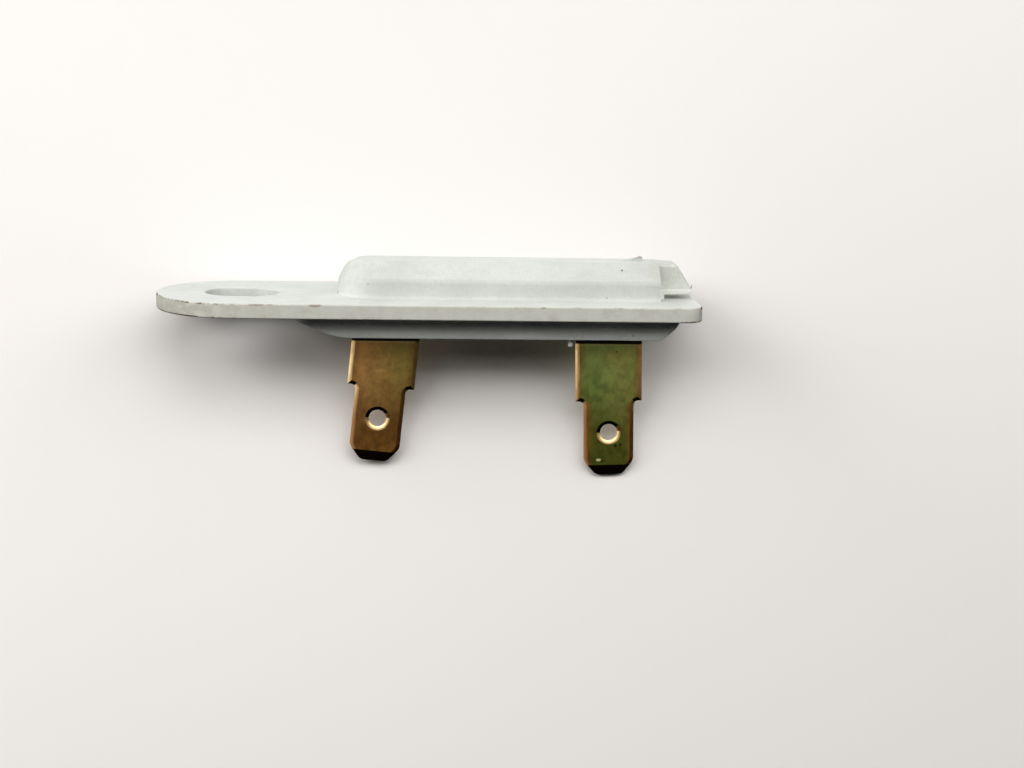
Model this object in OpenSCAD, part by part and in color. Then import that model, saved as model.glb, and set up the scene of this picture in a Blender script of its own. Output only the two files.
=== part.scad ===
// One-shot thermal fuse for a heated air duct.
// The seat face of the flange lies on z = 0 and the sensing chamber stands up from it, into the duct.
// The terminals hang down, away from the duct. The middle of the mounting slot is the origin,
// and +X runs along the flange from the mounting tab to the toe hook. Sizes are in millimetres.

/* [Flange] */
// Width of the flange
flange_width = 19.4; // [17:0.2:24]
// Thickness of the flange
flange_thickness = 1.85; // [1.5:0.05:2.6]
// Middle of the mounting slot to the round end of the tab
tab_reach = 10.6; // [9.8:0.1:13]
// Corner radius at the toe end of the flange
toe_corner_r = 2.2; // [1:0.1:5]
// Chamfer round the flange's edges
edge_break = 0.2; // [0.1:0.05:0.4]

/* [Mounting slot] */
// End to end length of the slot
slot_length = 9.1; // [7.4:0.1:10]
// Width of the slot
slot_width = 6.8; // [5:0.1:7.2]

/* [Sensing chamber] */
// Middle of the mounting slot to the round end of the chamber
chamber_offset = 11.8; // [11:0.1:16]
// Width of the chamber at the flange
chamber_width = 9.2; // [8.6:0.1:11]
// Height of the chamber above the flange
chamber_height = 4.45; // [4:0.05:6]
// Height of the sloped shoulder below the chamber's flat top
shoulder_height = 2.2; // [1.6:0.05:2.6]
// Radius where the shoulder runs into the flat top
top_round = 0.9; // [0.6:0.05:1.4]
// Radius of the chamber's upright corners at the toe end
chamber_corner_r = 0.45; // [0.2:0.05:1]
// Corner radius of the cavity's ceiling at the toe end
cavity_top_r = 0.2; // [0.1:0.05:0.6]
// Lean of the upright wall over its height
wall_draft = 0.2; // [0.05:0.05:0.3]
// Wall thickness of the chamber
wall = 1; // [0.8:0.05:1.2]
// Wall thickness at the chamber's toe end
toe_wall = 0.95; // [0.7:0.05:1.2]
// Length of the moulding gate's torn stub
gate_length = 3.4; // [1:0.1:4]
// Height of the moulding gate's torn stub
gate_height = 0.6; // [0.2:0.02:0.8]
// Length of the stub's steep end
gate_end = 0.7; // [0.3:0.05:0.9]
// Height where the stub's steep end starts
gate_knee = 0.36; // [0.1:0.02:0.5]
// Thickness of the moulding gate's torn stub
gate_thickness = 0.5; // [0.3:0.05:0.8]
// Toe end of the chamber to the gate stub
gate_inset = 1.9; // [1.2:0.1:4]

/* [Toe hook] */
// Toe end of the chamber to the toe end of the flange
toe_length = 4.75; // [4:0.05:6]
// How far the hook's tip stays back from the flange's end
tip_setback = 0.6; // [0.2:0.05:1]
// Width of the hook's nose
nose_width = 4.2; // [3.6:0.1:5.4]
// How far the nose lies below the chamber's top
nose_drop = 0.05; // [0.02:0.01:0.5]
// How far the nose's top falls towards its tip
nose_fall = 0.1; // [0.02:0.02:0.4]
// Length that the nose's sloped end takes up
nose_slope = 1.85; // [1.4:0.05:3]
// Height of the nose's upright tip above the lip
tip_face = 0.15; // [0.05:0.05:0.6]
// Chamfer along the nose's upper edges
nose_chamfer = 0.5; // [0.2:0.05:0.8]
// Gap under the lip for the duct's sheet metal
slit_height = 0.6; // [0.4:0.05:0.9]
// Thickness of the lip
lip_thickness = 0.6; // [0.4:0.05:0.9]
// How far the lip stands out past each side of the nose
lip_overhang = 0.25; // [0.1:0.05:0.5]
// Toe end of the chamber to the closed end of the slit
web = 0.75; // [0.4:0.05:1.2]
// Relief of the slit's floor below the seat face
slit_relief = 0.05; // [0.05:0.05:0.3]

/* [Rear cover] */
// Depth of the cover below the flange
cover_depth = 2.9; // [2.4:0.05:3.6]
// Width of the cover where it meets the flange
cover_width = 13.2; // [11.6:0.2:16]
// Lean of the cover's side walls over their height
cover_draft = 0.6; // [0.2:0.05:1]
// Thickness of the cover's floor
cover_floor = 1.35; // [1:0.05:1.6]
// Corner radius of the cover, seen from above
cover_corner_r = 2.4; // [1.8:0.1:4]
// How far the cover runs past the chamber's round end, towards the tab
cover_lead = 5.8; // [5:0.1:6.4]
// Toe end of the flange to the toe end of the cover
cover_toe_gap = 1.8; // [1.2:0.1:2.6]
// Length of the cover's ramp at the tab end
bow_ramp = 6; // [4:0.1:7]
// Length of the cover's ramp at the toe end
stern_ramp = 1.95; // [1.5:0.05:3.4]
// Height of the cover's upright end below each ramp
ramp_foot = 0.5; // [0.3:0.05:1]
// Radius where the ramp at the tab end runs into the cover's underside
bow_round = 3; // [1:0.1:4]
// Radius where the ramp at the toe end runs into the cover's underside
stern_round = 0.6; // [0.3:0.1:2]
// Chamfer along the cover's lower edge
rim = 0.25; // [0.15:0.05:0.4]
// Length of the moulding flash that hangs from the cover
flash_length = 0.95; // [0.4:0.05:2]
// Diameter of the moulding flash
flash_d = 0.65; // [0.4:0.05:0.8]
// Edge of the terminal slot to the middle of the moulding flash, along the cover
flash_gap = 0.85; // [0.4:0.05:1.5]
// Front edge of the cover's underside to the middle of the moulding flash
flash_inset = 1.35; // [0.5:0.05:3]

/* [Terminals] */
// Width of the push-on tab
tab_width = 6.35; // [4.75:0.05:6.8]
// Length of the push-on tab
tab_length = 9.6; // [7.5:0.1:11]
// Thickness of the sheet
blade_thickness = 0.8; // [0.5:0.05:1]
// Width of the shank above the tab
shank_width = 8.45; // [7.6:0.05:9.4]
// Length of the shank, from the ears to its shoulders
shank_length = 10.2; // [8:0.1:12]
// Radius inside the shoulders
shoulder_r = 0.5; // [0.3:0.05:0.7]
// Diameter of the locking hole in the tab
lock_hole_d = 2.2; // [1.6:0.1:2.6]
// Countersink round the locking hole
lock_hole_rim = 0.32; // [0.1:0.02:0.4]
// Middle of the locking hole to the tip
lock_hole_inset = 5.5; // [4.5:0.1:6]
// Width of each corner cut at the tip
tip_cut = 1.5; // [0.8:0.1:1.9]
// Height of each corner cut at the tip
tip_cut_height = 1.8; // [1:0.1:2.4]
// Length of the thinned tip
tip_bevel = 1.3; // [0.6:0.1:2]
// Depth of the tip's bevel on each face
tip_bevel_depth = 0.22; // [0.1:0.01:0.24]
// Width of the coined strip along the long edges of the sheet
coin_width = 0.5; // [0.2:0.05:0.7]
// Depth of the coining on each face
coin_depth = 0.2; // [0.08:0.01:0.22]
// How far each ear stands out past the shank
ear_overhang = 0.5; // [0.4:0.05:0.9]
// Height of the ears
ear_height = 1.2; // [0.8:0.1:1.5]
// Width of the contact plate above the ears
plate_width = 5; // [4:0.1:6]
// Height of the contact plate above the middle of the contact
plate_margin = 0.95; // [0.85:0.05:1.2]
// Underside of the ears to the middle of the contact
contact_rise = 2.94; // [2.6:0.02:3.2]
// Distance between the two terminals at the cover's underside
terminal_pitch = 28.05; // [24:0.05:32]
// Lean of the tab-side terminal in its own plane, in degrees
left_lean = -5.4; // [-6:0.1:3]
// Lean of the toe-side terminal in its own plane, in degrees
right_lean = 1.6; // [-3:0.1:3]
// How far the tab-side terminal is pushed in, off its seat
left_lift = 1.27; // [0:0.01:1.4]

/* [Contacts] */
// Thickness of the spring leaf
spring_thickness = 0.25; // [0.15:0.01:0.4]
// Height of the spring leaf
spring_height = 2.4; // [2:0.1:2.8]
// Length of the leaf's flat ends on each side of a rivet
spring_flat = 1.7; // [1.4:0.1:2.2]
// Diameter of the contact buttons
contact_d = 2.2; // [1.8:0.1:2.6]
// Thickness of each contact button
contact_thickness = 0.5; // [0.3:0.05:0.6]
// Diameter of the rivet and contact stems
stem_d = 1.1; // [0.8:0.05:1.3]
// How far a rivet head stands out past its stem
head_overhang = 0.4; // [0.25:0.05:0.5]
// Thickness of a rivet head
head_thickness = 0.25; // [0.15:0.05:0.4]
// Diameter of the thermal pellet
pellet_d = 2.6; // [2:0.1:2.8]

/* [Clearances] */
// Round end of the cavity to the tab-side terminal's ear
round_end_clearance = 0.58; // [0.3:0.02:1]
// Toe end of the cavity to the toe-side terminal's ear
toe_end_clearance = 0.25; // [0.1:0.05:1]
// Gap round each blade in its slot in the cover
slot_clearance = 0.15; // [0.1:0.01:0.3]
// Gap between the toe-side terminal's ear and the cover's floor
seat_clearance = 0.02; // [0.01:0.01:0.05]
// Radial gap round a stem in its hole
stem_clearance = 0.02; // [0.01:0.01:0.05]

/* [Hidden] */
$fn = 64;

plastic_colour = [0.86, 0.89, 0.87];
brass_colour = [0.66, 0.5, 0.2];
bronze_colour = [0.72, 0.45, 0.24];
silver_colour = [0.8, 0.8, 0.78];
pellet_colour = [0.55, 0.32, 0.2];

// How far one shape runs into another that it joins or cuts
bite = 0.5;
arc_steps = 6;

// Chamber section: an upright wall with draft, a 45 degree shoulder and a rounded flat top
crease_z = chamber_height - shoulder_height;
shoulder_run = shoulder_height + (sqrt(2) - 1) * top_round;
top_inset = wall_draft + shoulder_run;
chamber_profile = concat(
  [[0, -bite], [0, 0], [wall_draft, crease_z]],
  [for (i = [0:arc_steps])
    let (a = 45 * (1 - i / arc_steps))
    [top_inset - top_round * sin(a), chamber_height - top_round * (1 - cos(a))]]
);

// Cavity inside the chamber, one wall thickness from its outside
skin = wall + wall_draft;
ceiling_z = chamber_height - wall;
inner_crease_z = crease_z - wall * tan(22.5);
cavity_width = chamber_width - 2 * skin;
cavity_corner_r = ceiling_z - inner_crease_z + cavity_top_r;
cavity_x0 = chamber_offset + skin;

// Heights below the seat face
flange_z = -flange_thickness;
cover_z = flange_z - cover_depth;
floor_z = cover_z + cover_floor;

// Terminal heights are counted along the blade, from where its axis meets the cover's underside
ear_half = shank_width / 2 + ear_overhang;
function seat_height(lean) = (cover_floor + seat_clearance + ear_half * abs(sin(lean))) / cos(lean);
right_seat = seat_height(right_lean);
left_seat = seat_height(left_lean) + left_lift;
function ear_reach(lean, seat) =
  ear_half * cos(lean) + max(seat * sin(lean), (seat + ear_height) * sin(lean));

// Places along the length: the cavity takes its length from the terminals, and the rest follows
left_x = cavity_x0 + round_end_clearance + ear_reach(left_lean, left_seat);
right_x = left_x + terminal_pitch;
cavity_x1 = right_x + ear_reach(-right_lean, right_seat) + toe_end_clearance;
chamber_x1 = cavity_x1 + toe_wall;
toe_x = chamber_x1 + toe_length;

// Toe hook
nose_z = chamber_height - nose_drop;
crest_z = nose_z - nose_fall;
tip_x = toe_x - tip_setback;
slit_x = chamber_x1 + web;
lip_z = slit_height + lip_thickness;
lip_width = nose_width + 2 * lip_overhang;

// Rear cover
cover_x0 = chamber_offset - cover_lead;
cover_x1 = toe_x - cover_toe_gap;
foot_z = flange_z - ramp_foot;
bow_angle = atan2(cover_depth - ramp_foot, bow_ramp);
stern_angle = atan2(cover_depth - ramp_foot, stern_ramp);

// Middle of the contact on each terminal, as [x, z]
function along(x, lean, height) = [x - height * sin(lean), cover_z + height * cos(lean)];
left_contact = along(left_x, left_lean, left_seat + contact_rise);
right_contact = along(right_x, right_lean, right_seat + contact_rise);
spring_step = right_contact - left_contact;
spring_length = norm(spring_step);
spring_angle = atan2(spring_step[1], spring_step[0]);

// Stack through the contacts, counted along +Y from the back of the terminals
leaf_y = 2 * contact_thickness;
leaf_back = leaf_y + spring_thickness;
pellet_y = leaf_back + head_thickness;
stem_r = stem_d / 2;
head_r = stem_r + head_overhang;

function half_section(r, profile) = concat(
  [[0, profile[0][1]]],
  [for (p = profile) [r - p[0], p[1]]],
  [[0, profile[len(profile) - 1][1]]]
);

// Points of the arc of radius r that runs a ramp into the cover's underside, centred above cx
function ramp_arc(cx, r, from, to) = [
  for (i = [0:arc_steps])
    let (a = from + (to - from) * i / arc_steps)
    [cx + r * cos(a), cover_z + r * (1 + sin(a))]
];

// One end of a long rounded block, with a corner radius r and a wall given as [inset, z] points
module block_end(half, r, profile) {
  for (side = [0, 1])
    mirror([0, side, 0])
      translate([0, half - r, 0])
        rotate_extrude(angle = 90)
          polygon(half_section(r, profile));
  if (half > r)
    translate([0, half - r, 0])
      rotate([90, 0, 0])
        linear_extrude(2 * (half - r))
          polygon(half_section(r, profile));
}

// A long block from x0 to x1 with corner radius r0 at x0 and r1 at x1, cut square where r1 is 0
module long_block(x0, x1, width, r0, r1, profile) {
  half = width / 2;
  right = [for (p = profile) [half - p[0], p[1]]];
  left = [for (i = [len(profile) - 1:-1:0]) [profile[i][0] - half, profile[i][1]]];
  translate([x0 + r0, 0, 0])
    rotate([90, 0, 90])
      linear_extrude(x1 - r1 - x0 - r0)
        polygon(concat(right, left));
  translate([x0 + r0, 0, 0])
    mirror([1, 0, 0])
      block_end(half, r0, profile);
  if (r1 > 0)
    translate([x1 - r1, 0, 0])
      block_end(half, r1, profile);
}

// A side view in x and z, pushed out to a width across y
module side_plate(width, points) {
  translate([0, width / 2, 0])
    rotate([90, 0, 0])
      linear_extrude(width)
        polygon(points);
}

// A round bar along y, from y0 to y1
module y_bar(d, y0, y1) {
  translate([0, y1, 0])
    rotate([90, 0, 0])
      cylinder(d = d, h = y1 - y0);
}

module flange_plate() {
  long_block(-tab_reach, toe_x, flange_width, flange_width / 2, toe_corner_r, [
    [edge_break, flange_z],
    [0, flange_z + edge_break],
    [0, -edge_break],
    [edge_break, 0]
  ]);
}

// The wall and shoulder run round the tab end and stop square at the toe, with the corners rounded
module chamber_shell() {
  round_r = chamber_width / 2;
  intersection() {
    long_block(chamber_offset, chamber_x1, chamber_width, round_r, 0, chamber_profile);
    long_block(chamber_offset, chamber_x1, chamber_width, round_r, chamber_corner_r, [
      [0, -2 * bite],
      [0, chamber_height + bite]
    ]);
  }
}

module cavity(bottom, top_profile) {
  long_block(
    cavity_x0, cavity_x1, cavity_width, cavity_width / 2, cavity_corner_r,
    concat([[0, bottom]], top_profile)
  );
}

module toe_nose() {
  start_x = chamber_x1 - bite;
  intersection() {
    side_plate(nose_width, [
      [start_x, -bite],
      [slit_x, -bite],
      [slit_x, slit_height],
      [tip_x, slit_height],
      [tip_x, lip_z + tip_face],
      [tip_x - nose_slope, crest_z],
      [chamber_x1, nose_z],
      [start_x, nose_z]
    ]);
    translate([start_x, 0, 0])
      rotate([90, 0, 90])
        linear_extrude(tip_x - start_x)
          polygon([
            [-nose_width / 2, -bite],
            [nose_width / 2, -bite],
            [nose_width / 2, nose_z - nose_chamfer],
            [nose_width / 2 - nose_chamfer, nose_z],
            [nose_chamfer - nose_width / 2, nose_z],
            [-nose_width / 2, nose_z - nose_chamfer]
          ]);
  }
  side_plate(lip_width, [
    [start_x, -bite],
    [slit_x, -bite],
    [slit_x, slit_height],
    [tip_x, slit_height],
    [tip_x, lip_z],
    [start_x, lip_z]
  ]);
}

module slit_floor() {
  translate([slit_x, -lip_width / 2 - slit_relief, -slit_relief])
    cube([tip_x + slit_relief - slit_x, lip_width + 2 * slit_relief, slit_relief + slit_height]);
}

module gate_stub() {
  gate_x = chamber_x1 - gate_inset;
  side_plate(gate_thickness, [
    [gate_x - gate_length, chamber_height - bite],
    [gate_x, chamber_height - bite],
    [gate_x, chamber_height + gate_height],
    [gate_x - gate_end, chamber_height + gate_knee],
    [gate_x - gate_length, chamber_height]
  ]);
}

module mounting_slot() {
  straight = slot_length - slot_width;
  translate([-straight / 2, -slot_width / 2, flange_z - bite])
    cube([straight, slot_width, flange_thickness + 2 * bite]);
  for (side = [-1, 1])
    translate([side * straight / 2, 0, flange_z - bite])
      cylinder(d = slot_width, h = flange_thickness + 2 * bite);
}

module housing() {
  color(plastic_colour)
    difference() {
      union() {
        flange_plate();
        chamber_shell();
        toe_nose();
        gate_stub();
      }
      cavity(flange_z - bite, [[0, inner_crease_z], [ceiling_z - inner_crease_z, ceiling_z]]);
      mounting_slot();
      slit_floor();
    }
}

// The slot that a leaning blade passes through in the cover's floor
module blade_slot(x, lean) {
  length = shank_width / cos(lean) + cover_floor * abs(tan(lean)) + 2 * slot_clearance;
  middle = x - cover_floor / 2 * tan(lean);
  translate([middle - length / 2, -blade_thickness - slot_clearance, cover_z - bite])
    cube([length, blade_thickness + 2 * slot_clearance, cover_floor + 2 * bite]);
}

module cover_hull() {
  bow_x = cover_x0 + bow_ramp + bow_round * tan(bow_angle / 2);
  stern_x = cover_x1 - stern_ramp - stern_round * tan(stern_angle / 2);
  intersection() {
    long_block(cover_x0, cover_x1, cover_width, cover_corner_r, cover_corner_r, [
      [cover_draft + rim, cover_z],
      [cover_draft, cover_z + rim],
      [0, flange_z]
    ]);
    side_plate(cover_width, concat(
      [[cover_x0, flange_z], [cover_x0, foot_z]],
      ramp_arc(bow_x, bow_round, 270 - bow_angle, 270),
      ramp_arc(stern_x, stern_round, 270, 270 + stern_angle),
      [[cover_x1, foot_z], [cover_x1, flange_z]]
    ));
  }
}

module rear_cover() {
  flash_x = right_x - shank_width / 2 / cos(right_lean) - slot_clearance - flash_gap;
  flash_y = flash_inset + cover_draft + rim - cover_width / 2;
  color(plastic_colour) {
    difference() {
      cover_hull();
      cavity(floor_z, [[0, flange_z + bite]]);
      blade_slot(left_x, left_lean);
      blade_slot(right_x, right_lean);
    }
    translate([flash_x, flash_y, cover_z - flash_length])
      cylinder(d = flash_d, h = flash_length + cover_floor / 2);
  }
}

// The stamped outline, seen from the front, with the underside of the ears on z = 0
module blade_outline() {
  tip_z = -shank_length - tab_length;
  shoulder = (shank_width - tab_width) / 2;
  r = min(shoulder_r, shoulder);
  difference() {
    union() {
      translate([-plate_width / 2, 0])
        square([plate_width, contact_rise + plate_margin]);
      translate([-ear_half, 0])
        square([2 * ear_half, ear_height]);
      translate([-shank_width / 2, -shank_length])
        square([shank_width, shank_length + ear_height]);
      translate([-tab_width / 2 - r, -shank_length - r])
        square([tab_width + 2 * r, 2 * r]);
      polygon([
        [-tab_width / 2, -shank_length],
        [-tab_width / 2, tip_z + tip_cut_height],
        [-tab_width / 2 + tip_cut, tip_z],
        [tab_width / 2 - tip_cut, tip_z],
        [tab_width / 2, tip_z + tip_cut_height],
        [tab_width / 2, -shank_length]
      ]);
    }
    for (side = [-1, 1])
      translate([side * (tab_width / 2 + r), -shank_length - r])
        circle(r = r);
  }
}

// A strip of sheet with coined long edges, from z0 to z1
module coined_strip(width, z0, z1) {
  half = width / 2;
  translate([0, -blade_thickness, z0])
    linear_extrude(z1 - z0)
      polygon([
        [coin_width - half, 0],
        [half - coin_width, 0],
        [half, coin_depth],
        [half, blade_thickness - coin_depth],
        [half - coin_width, blade_thickness],
        [coin_width - half, blade_thickness],
        [-half, blade_thickness - coin_depth],
        [-half, coin_depth]
      ]);
}

module terminal() {
  tip_z = -shank_length - tab_length;
  top_z = contact_rise + plate_margin;
  hole_z = tip_z + lock_hole_inset;
  difference() {
    intersection() {
      rotate([90, 0, 0])
        linear_extrude(blade_thickness)
          blade_outline();
      union() {
        coined_strip(2 * ear_half + 2 * coin_width, 0, top_z);
        coined_strip(shank_width, -shank_length, 0);
        coined_strip(tab_width, tip_z, -shank_length);
        translate([-tab_width / 2 - shoulder_r, -blade_thickness, -shank_length - shoulder_r])
          cube([tab_width + 2 * shoulder_r, blade_thickness, shoulder_r]);
      }
      translate([-ear_half, 0, 0])
        rotate([90, 0, 90])
          linear_extrude(2 * ear_half)
            polygon([
              [0, top_z],
              [0, tip_z + tip_bevel],
              [-tip_bevel_depth, tip_z],
              [tip_bevel_depth - blade_thickness, tip_z],
              [-blade_thickness, tip_z + tip_bevel],
              [-blade_thickness, top_z]
            ]);
    }
    translate([0, 0, hole_z])
      y_bar(lock_hole_d, -blade_thickness - bite, bite);
    translate([0, 0, hole_z])
      rotate([90, 0, 0])
        cylinder(d1 = lock_hole_d + 2 * lock_hole_rim, d2 = lock_hole_d, h = lock_hole_rim / 2);
    translate([0, -blade_thickness, hole_z])
      rotate([-90, 0, 0])
        cylinder(d1 = lock_hole_d + 2 * lock_hole_rim, d2 = lock_hole_d, h = lock_hole_rim / 2);
    translate([0, 0, contact_rise])
      y_bar(stem_d + 2 * stem_clearance, -blade_thickness - bite, bite);
  }
}

// Puts a terminal at x on the cover's underside, leaning and lifted to its seat
module seated(x, lean, seat) {
  translate([x, 0, cover_z])
    rotate([0, -lean, 0])
      translate([0, 0, seat])
        children();
}

module left_terminal() {
  color(brass_colour)
    seated(left_x, left_lean, left_seat)
      terminal();
}

module right_terminal() {
  color(brass_colour)
    seated(right_x, right_lean, right_seat)
      terminal();
}

module at_contact(place) {
  translate([place[0], 0, place[1]])
    children();
}

// The leaf lies flat on the tab-side terminal and steps back to the moving contact
module contact_spring() {
  face = [
    [-spring_flat, 0],
    [spring_flat, 0],
    [spring_length - spring_flat, leaf_y],
    [spring_length + spring_flat, leaf_y]
  ];
  back = [for (i = [len(face) - 1:-1:0]) face[i] + [0, spring_thickness]];
  color(bronze_colour)
    at_contact(left_contact)
      rotate([0, -spring_angle, 0])
        difference() {
          translate([0, 0, -spring_height / 2])
            linear_extrude(spring_height)
              polygon(concat(face, back));
          for (x = [0, spring_length])
            translate([x, 0, 0])
              y_bar(stem_d + 2 * stem_clearance, -bite, leaf_back + bite);
        }
}

module spring_rivet() {
  color(brass_colour)
    at_contact(left_contact) {
      y_bar(2 * head_r, -blade_thickness - head_thickness, -blade_thickness);
      y_bar(stem_d, -blade_thickness - head_thickness, spring_thickness + head_thickness);
      y_bar(2 * head_r, spring_thickness, spring_thickness + head_thickness);
    }
}

module moving_contact() {
  color(silver_colour)
    at_contact(right_contact) {
      y_bar(contact_d, contact_thickness, leaf_y);
      y_bar(stem_d, contact_thickness, pellet_y);
      y_bar(2 * head_r, leaf_back, pellet_y);
    }
}

module fixed_contact() {
  color(silver_colour)
    at_contact(right_contact) {
      y_bar(contact_d, 0, contact_thickness);
      y_bar(stem_d, -blade_thickness - head_thickness, contact_thickness);
      y_bar(2 * head_r, -blade_thickness - head_thickness, -blade_thickness);
    }
}

// The pellet holds the contacts shut, between the moving contact and the chamber's wall
module thermal_pellet() {
  color(pellet_colour)
    at_contact(right_contact)
      y_bar(pellet_d, pellet_y, cavity_width / 2);
}

housing();
rear_cover();
left_terminal();
right_terminal();
contact_spring();
spring_rivet();
moving_contact();
fixed_contact();
thermal_pellet();
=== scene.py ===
"""Looks of a one-shot thermal fuse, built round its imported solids.

Sizes in the classes are millimetres in the part's frame: the seat face of the flange is z = 0,
the middle of the mounting slot is the origin and +X runs towards the toe hook.
"""

import logging
import math
from dataclasses import dataclass, replace
from enum import Enum
from typing import Callable, Iterable, Sequence

import bmesh
import bpy
from mathutils import Matrix, Vector, noise


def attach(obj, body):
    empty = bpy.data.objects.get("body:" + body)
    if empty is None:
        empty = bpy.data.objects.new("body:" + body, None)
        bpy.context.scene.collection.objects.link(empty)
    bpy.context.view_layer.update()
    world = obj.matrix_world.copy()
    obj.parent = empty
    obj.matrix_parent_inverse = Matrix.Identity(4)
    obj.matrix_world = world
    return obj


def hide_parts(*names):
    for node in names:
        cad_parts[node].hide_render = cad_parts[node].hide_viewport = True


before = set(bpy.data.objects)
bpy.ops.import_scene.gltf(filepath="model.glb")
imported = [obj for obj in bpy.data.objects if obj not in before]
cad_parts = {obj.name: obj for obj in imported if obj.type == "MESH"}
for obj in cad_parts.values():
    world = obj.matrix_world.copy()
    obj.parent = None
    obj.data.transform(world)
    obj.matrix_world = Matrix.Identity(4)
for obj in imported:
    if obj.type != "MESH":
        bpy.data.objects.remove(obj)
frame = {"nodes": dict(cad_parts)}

LOG = logging.getLogger("thermal_fuse")
MM = 0.001
SNAP = 1e-3
# How far a cutting tool runs past what it cuts
OVERRUN = 1.0
# Past this share of its normal a face counts as level
LEVEL = 0.98
# A place beyond every piece, for marks that a finish leaves out
NOWHERE = 1000.0
BODY = "root"
BLACK = (0.0, 0.0, 0.0)
WARM = (1.0, 0.985, 0.955)
RANGE = ("From Min", "From Max", "To Min", "To Max")

Point = tuple[float, float]
Place = tuple[float, float, float]
Colour = tuple[float, float, float]
Shell = bmesh.types.BMesh
Face = bmesh.types.BMFace
Edge = bmesh.types.BMEdge
Corner = bmesh.types.BMVert
Piece = bpy.types.Object
Material = bpy.types.Material
Socket = bpy.types.NodeSocket
Input = Socket | float | tuple[float, ...]


class Join(Enum):
    """How a second shell is worked into the first."""

    ADD = "UNION"
    CUT = "DIFFERENCE"


class Skin(Enum):
    """Which finish a face of a moulding takes, as its material index."""

    FACE = 0
    EDGE = 1
    GRIME = 2
    TOE = 3
    LIP = 4


class Metal(Enum):
    """Which finish a face of a blade takes, as its material index."""

    FACE = 0
    EDGE = 1
    UNDERSIDE_SHADE = 2
    RIM_HIGHLIGHT = 3
    SHADE = 4


def linear(red: int, green: int, blue: int) -> Colour:
    """Turns a colour written as 0 to 255 screen values into linear light.

    Args:
        red: Red screen value.
        green: Green screen value.
        blue: Blue screen value.

    Returns:
        The colour as three linear values.
    """
    screen = (red / 255, green / 255, blue / 255)
    return tuple(c / 12.92 if c <= 0.04045 else ((c + 0.055) / 1.055) ** 2.4 for c in screen)


# Shell making


@dataclass(frozen=True)
class Plan:
    """A long outline seen from above, with a corner radius at each end."""

    x0: float
    x1: float
    half: float
    r0: float
    r1: float

    def grown(self, by: float) -> "Plan":
        """Returns the same outline, grown outwards by a distance."""
        return Plan(self.x0 - by, self.x1 + by, self.half + by, self.r0 + by, self.r1 + by)

    def inside(self, x: float, y: float) -> float:
        """Measures how far a point lies inside the outline.

        Args:
            x: Place along the length.
            y: Place across the width.

        Returns:
            The distance to the outline, below zero outside it.
        """
        across = abs(y)
        for end, radius, way in ((self.x0, self.r0, -1), (self.x1, self.r1, 1)):
            past = (x - end) * way + radius
            over = across - self.half + radius
            if past > 0 and over > 0:
                return radius - math.hypot(past, over)
        return min(self.half - across, x - self.x0, self.x1 - x)


def plan_face(bm: Shell, plan: Plan, z: float, steps: int = 20) -> Face:
    """Lays a flat face of a plan's outline.

    Args:
        bm: The shell that gets the face.
        plan: Outline of the face.
        z: Height of the face.
        steps: Segments in each rounded corner.

    Returns:
        The face, looking up.
    """
    made = bmesh.ops.create_grid(bm, x_segments=1, y_segments=1, size=0.5)["verts"]
    bmesh.ops.scale(bm, vec=(plan.x1 - plan.x0, 2 * plan.half, 1), verts=made)
    bmesh.ops.translate(bm, vec=((plan.x0 + plan.x1) / 2, 0, z), verts=made)
    for end, radius in ((plan.x0, plan.r0), (plan.x1, plan.r1)):
        corners = [v for v in bm.verts if abs(v.co.x - end) < SNAP]
        bmesh.ops.bevel(
            bm, geom=corners, offset=min(radius, plan.half - SNAP / 4), offset_type="OFFSET",
            affect="VERTICES", segments=steps, profile=0.5, material=-1, clamp_overlap=False,
        )
    bmesh.ops.remove_doubles(bm, verts=bm.verts, dist=SNAP)
    return bm.faces[:][0]


def side_face(bm: Shell, points: Sequence[Place]) -> Face:
    """Makes a face through a few points, given in order."""
    return bm.faces.new([bm.verts.new(p) for p in points])


def thicken(bm: Shell, face: Face, way: Place) -> tuple[Face, Face]:
    """Pushes a face out into a closed slab.

    Args:
        bm: The shell that holds the face.
        face: The face to push out.
        way: How far the new cap moves.

    Returns:
        The cap that moved and the cap that stayed, both looking outwards.
    """
    made = bmesh.ops.extrude_face_region(bm, geom=[face])["geom"]
    bmesh.ops.translate(bm, vec=way, verts=[g for g in made if isinstance(g, Corner)])
    bmesh.ops.recalc_face_normals(bm, faces=bm.faces)
    return next(g for g in made if isinstance(g, Face)), face


def step_in(bm: Shell, cap: Face, steps: Iterable[Point]) -> None:
    """Draws a cap in and lifts it along its normal, once for each (inset, rise) step."""
    for inset, rise in steps:
        bmesh.ops.inset_region(bm, faces=[cap], thickness=inset, depth=rise, use_even_offset=True)


def quarter_round(radius: float, segments: int = 4) -> list[Point]:
    """Gives the steps that round a wall into its cap.

    Args:
        radius: Radius of the rounding.
        segments: How many steps it takes.

    Returns:
        The steps, each an inset and a rise.
    """
    turn = [math.pi / 2 * i / segments for i in range(segments + 1)]
    return [
        (radius * (math.cos(a) - math.cos(b)), radius * (math.sin(b) - math.sin(a)))
        for a, b in zip(turn, turn[1:])
    ]


def soften(bm: Shell, pick: Callable[[Edge], bool], width: float, segments: int = 3) -> None:
    """Rounds the edges that a test picks.

    Args:
        bm: The shell to work on.
        pick: Says whether an edge is rounded.
        width: How far the rounding reaches from the edge.
        segments: Segments across the rounding.
    """
    bmesh.ops.bevel(
        bm, geom=[e for e in bm.edges if pick(e)], offset=width, offset_type="OFFSET",
        affect="EDGES", segments=segments, profile=0.5, material=-1, clamp_overlap=True,
    )


def at_height(z: float) -> Callable[[Edge], bool]:
    """Returns a test for edges that lie level at a height."""
    return lambda e: all(abs(v.co.z - z) < SNAP for v in e.verts)


def lies_along(edge: Edge) -> bool:
    """Says whether an edge keeps its place across the part."""
    return abs(edge.verts[0].co.y - edge.verts[1].co.y) < SNAP


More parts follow.
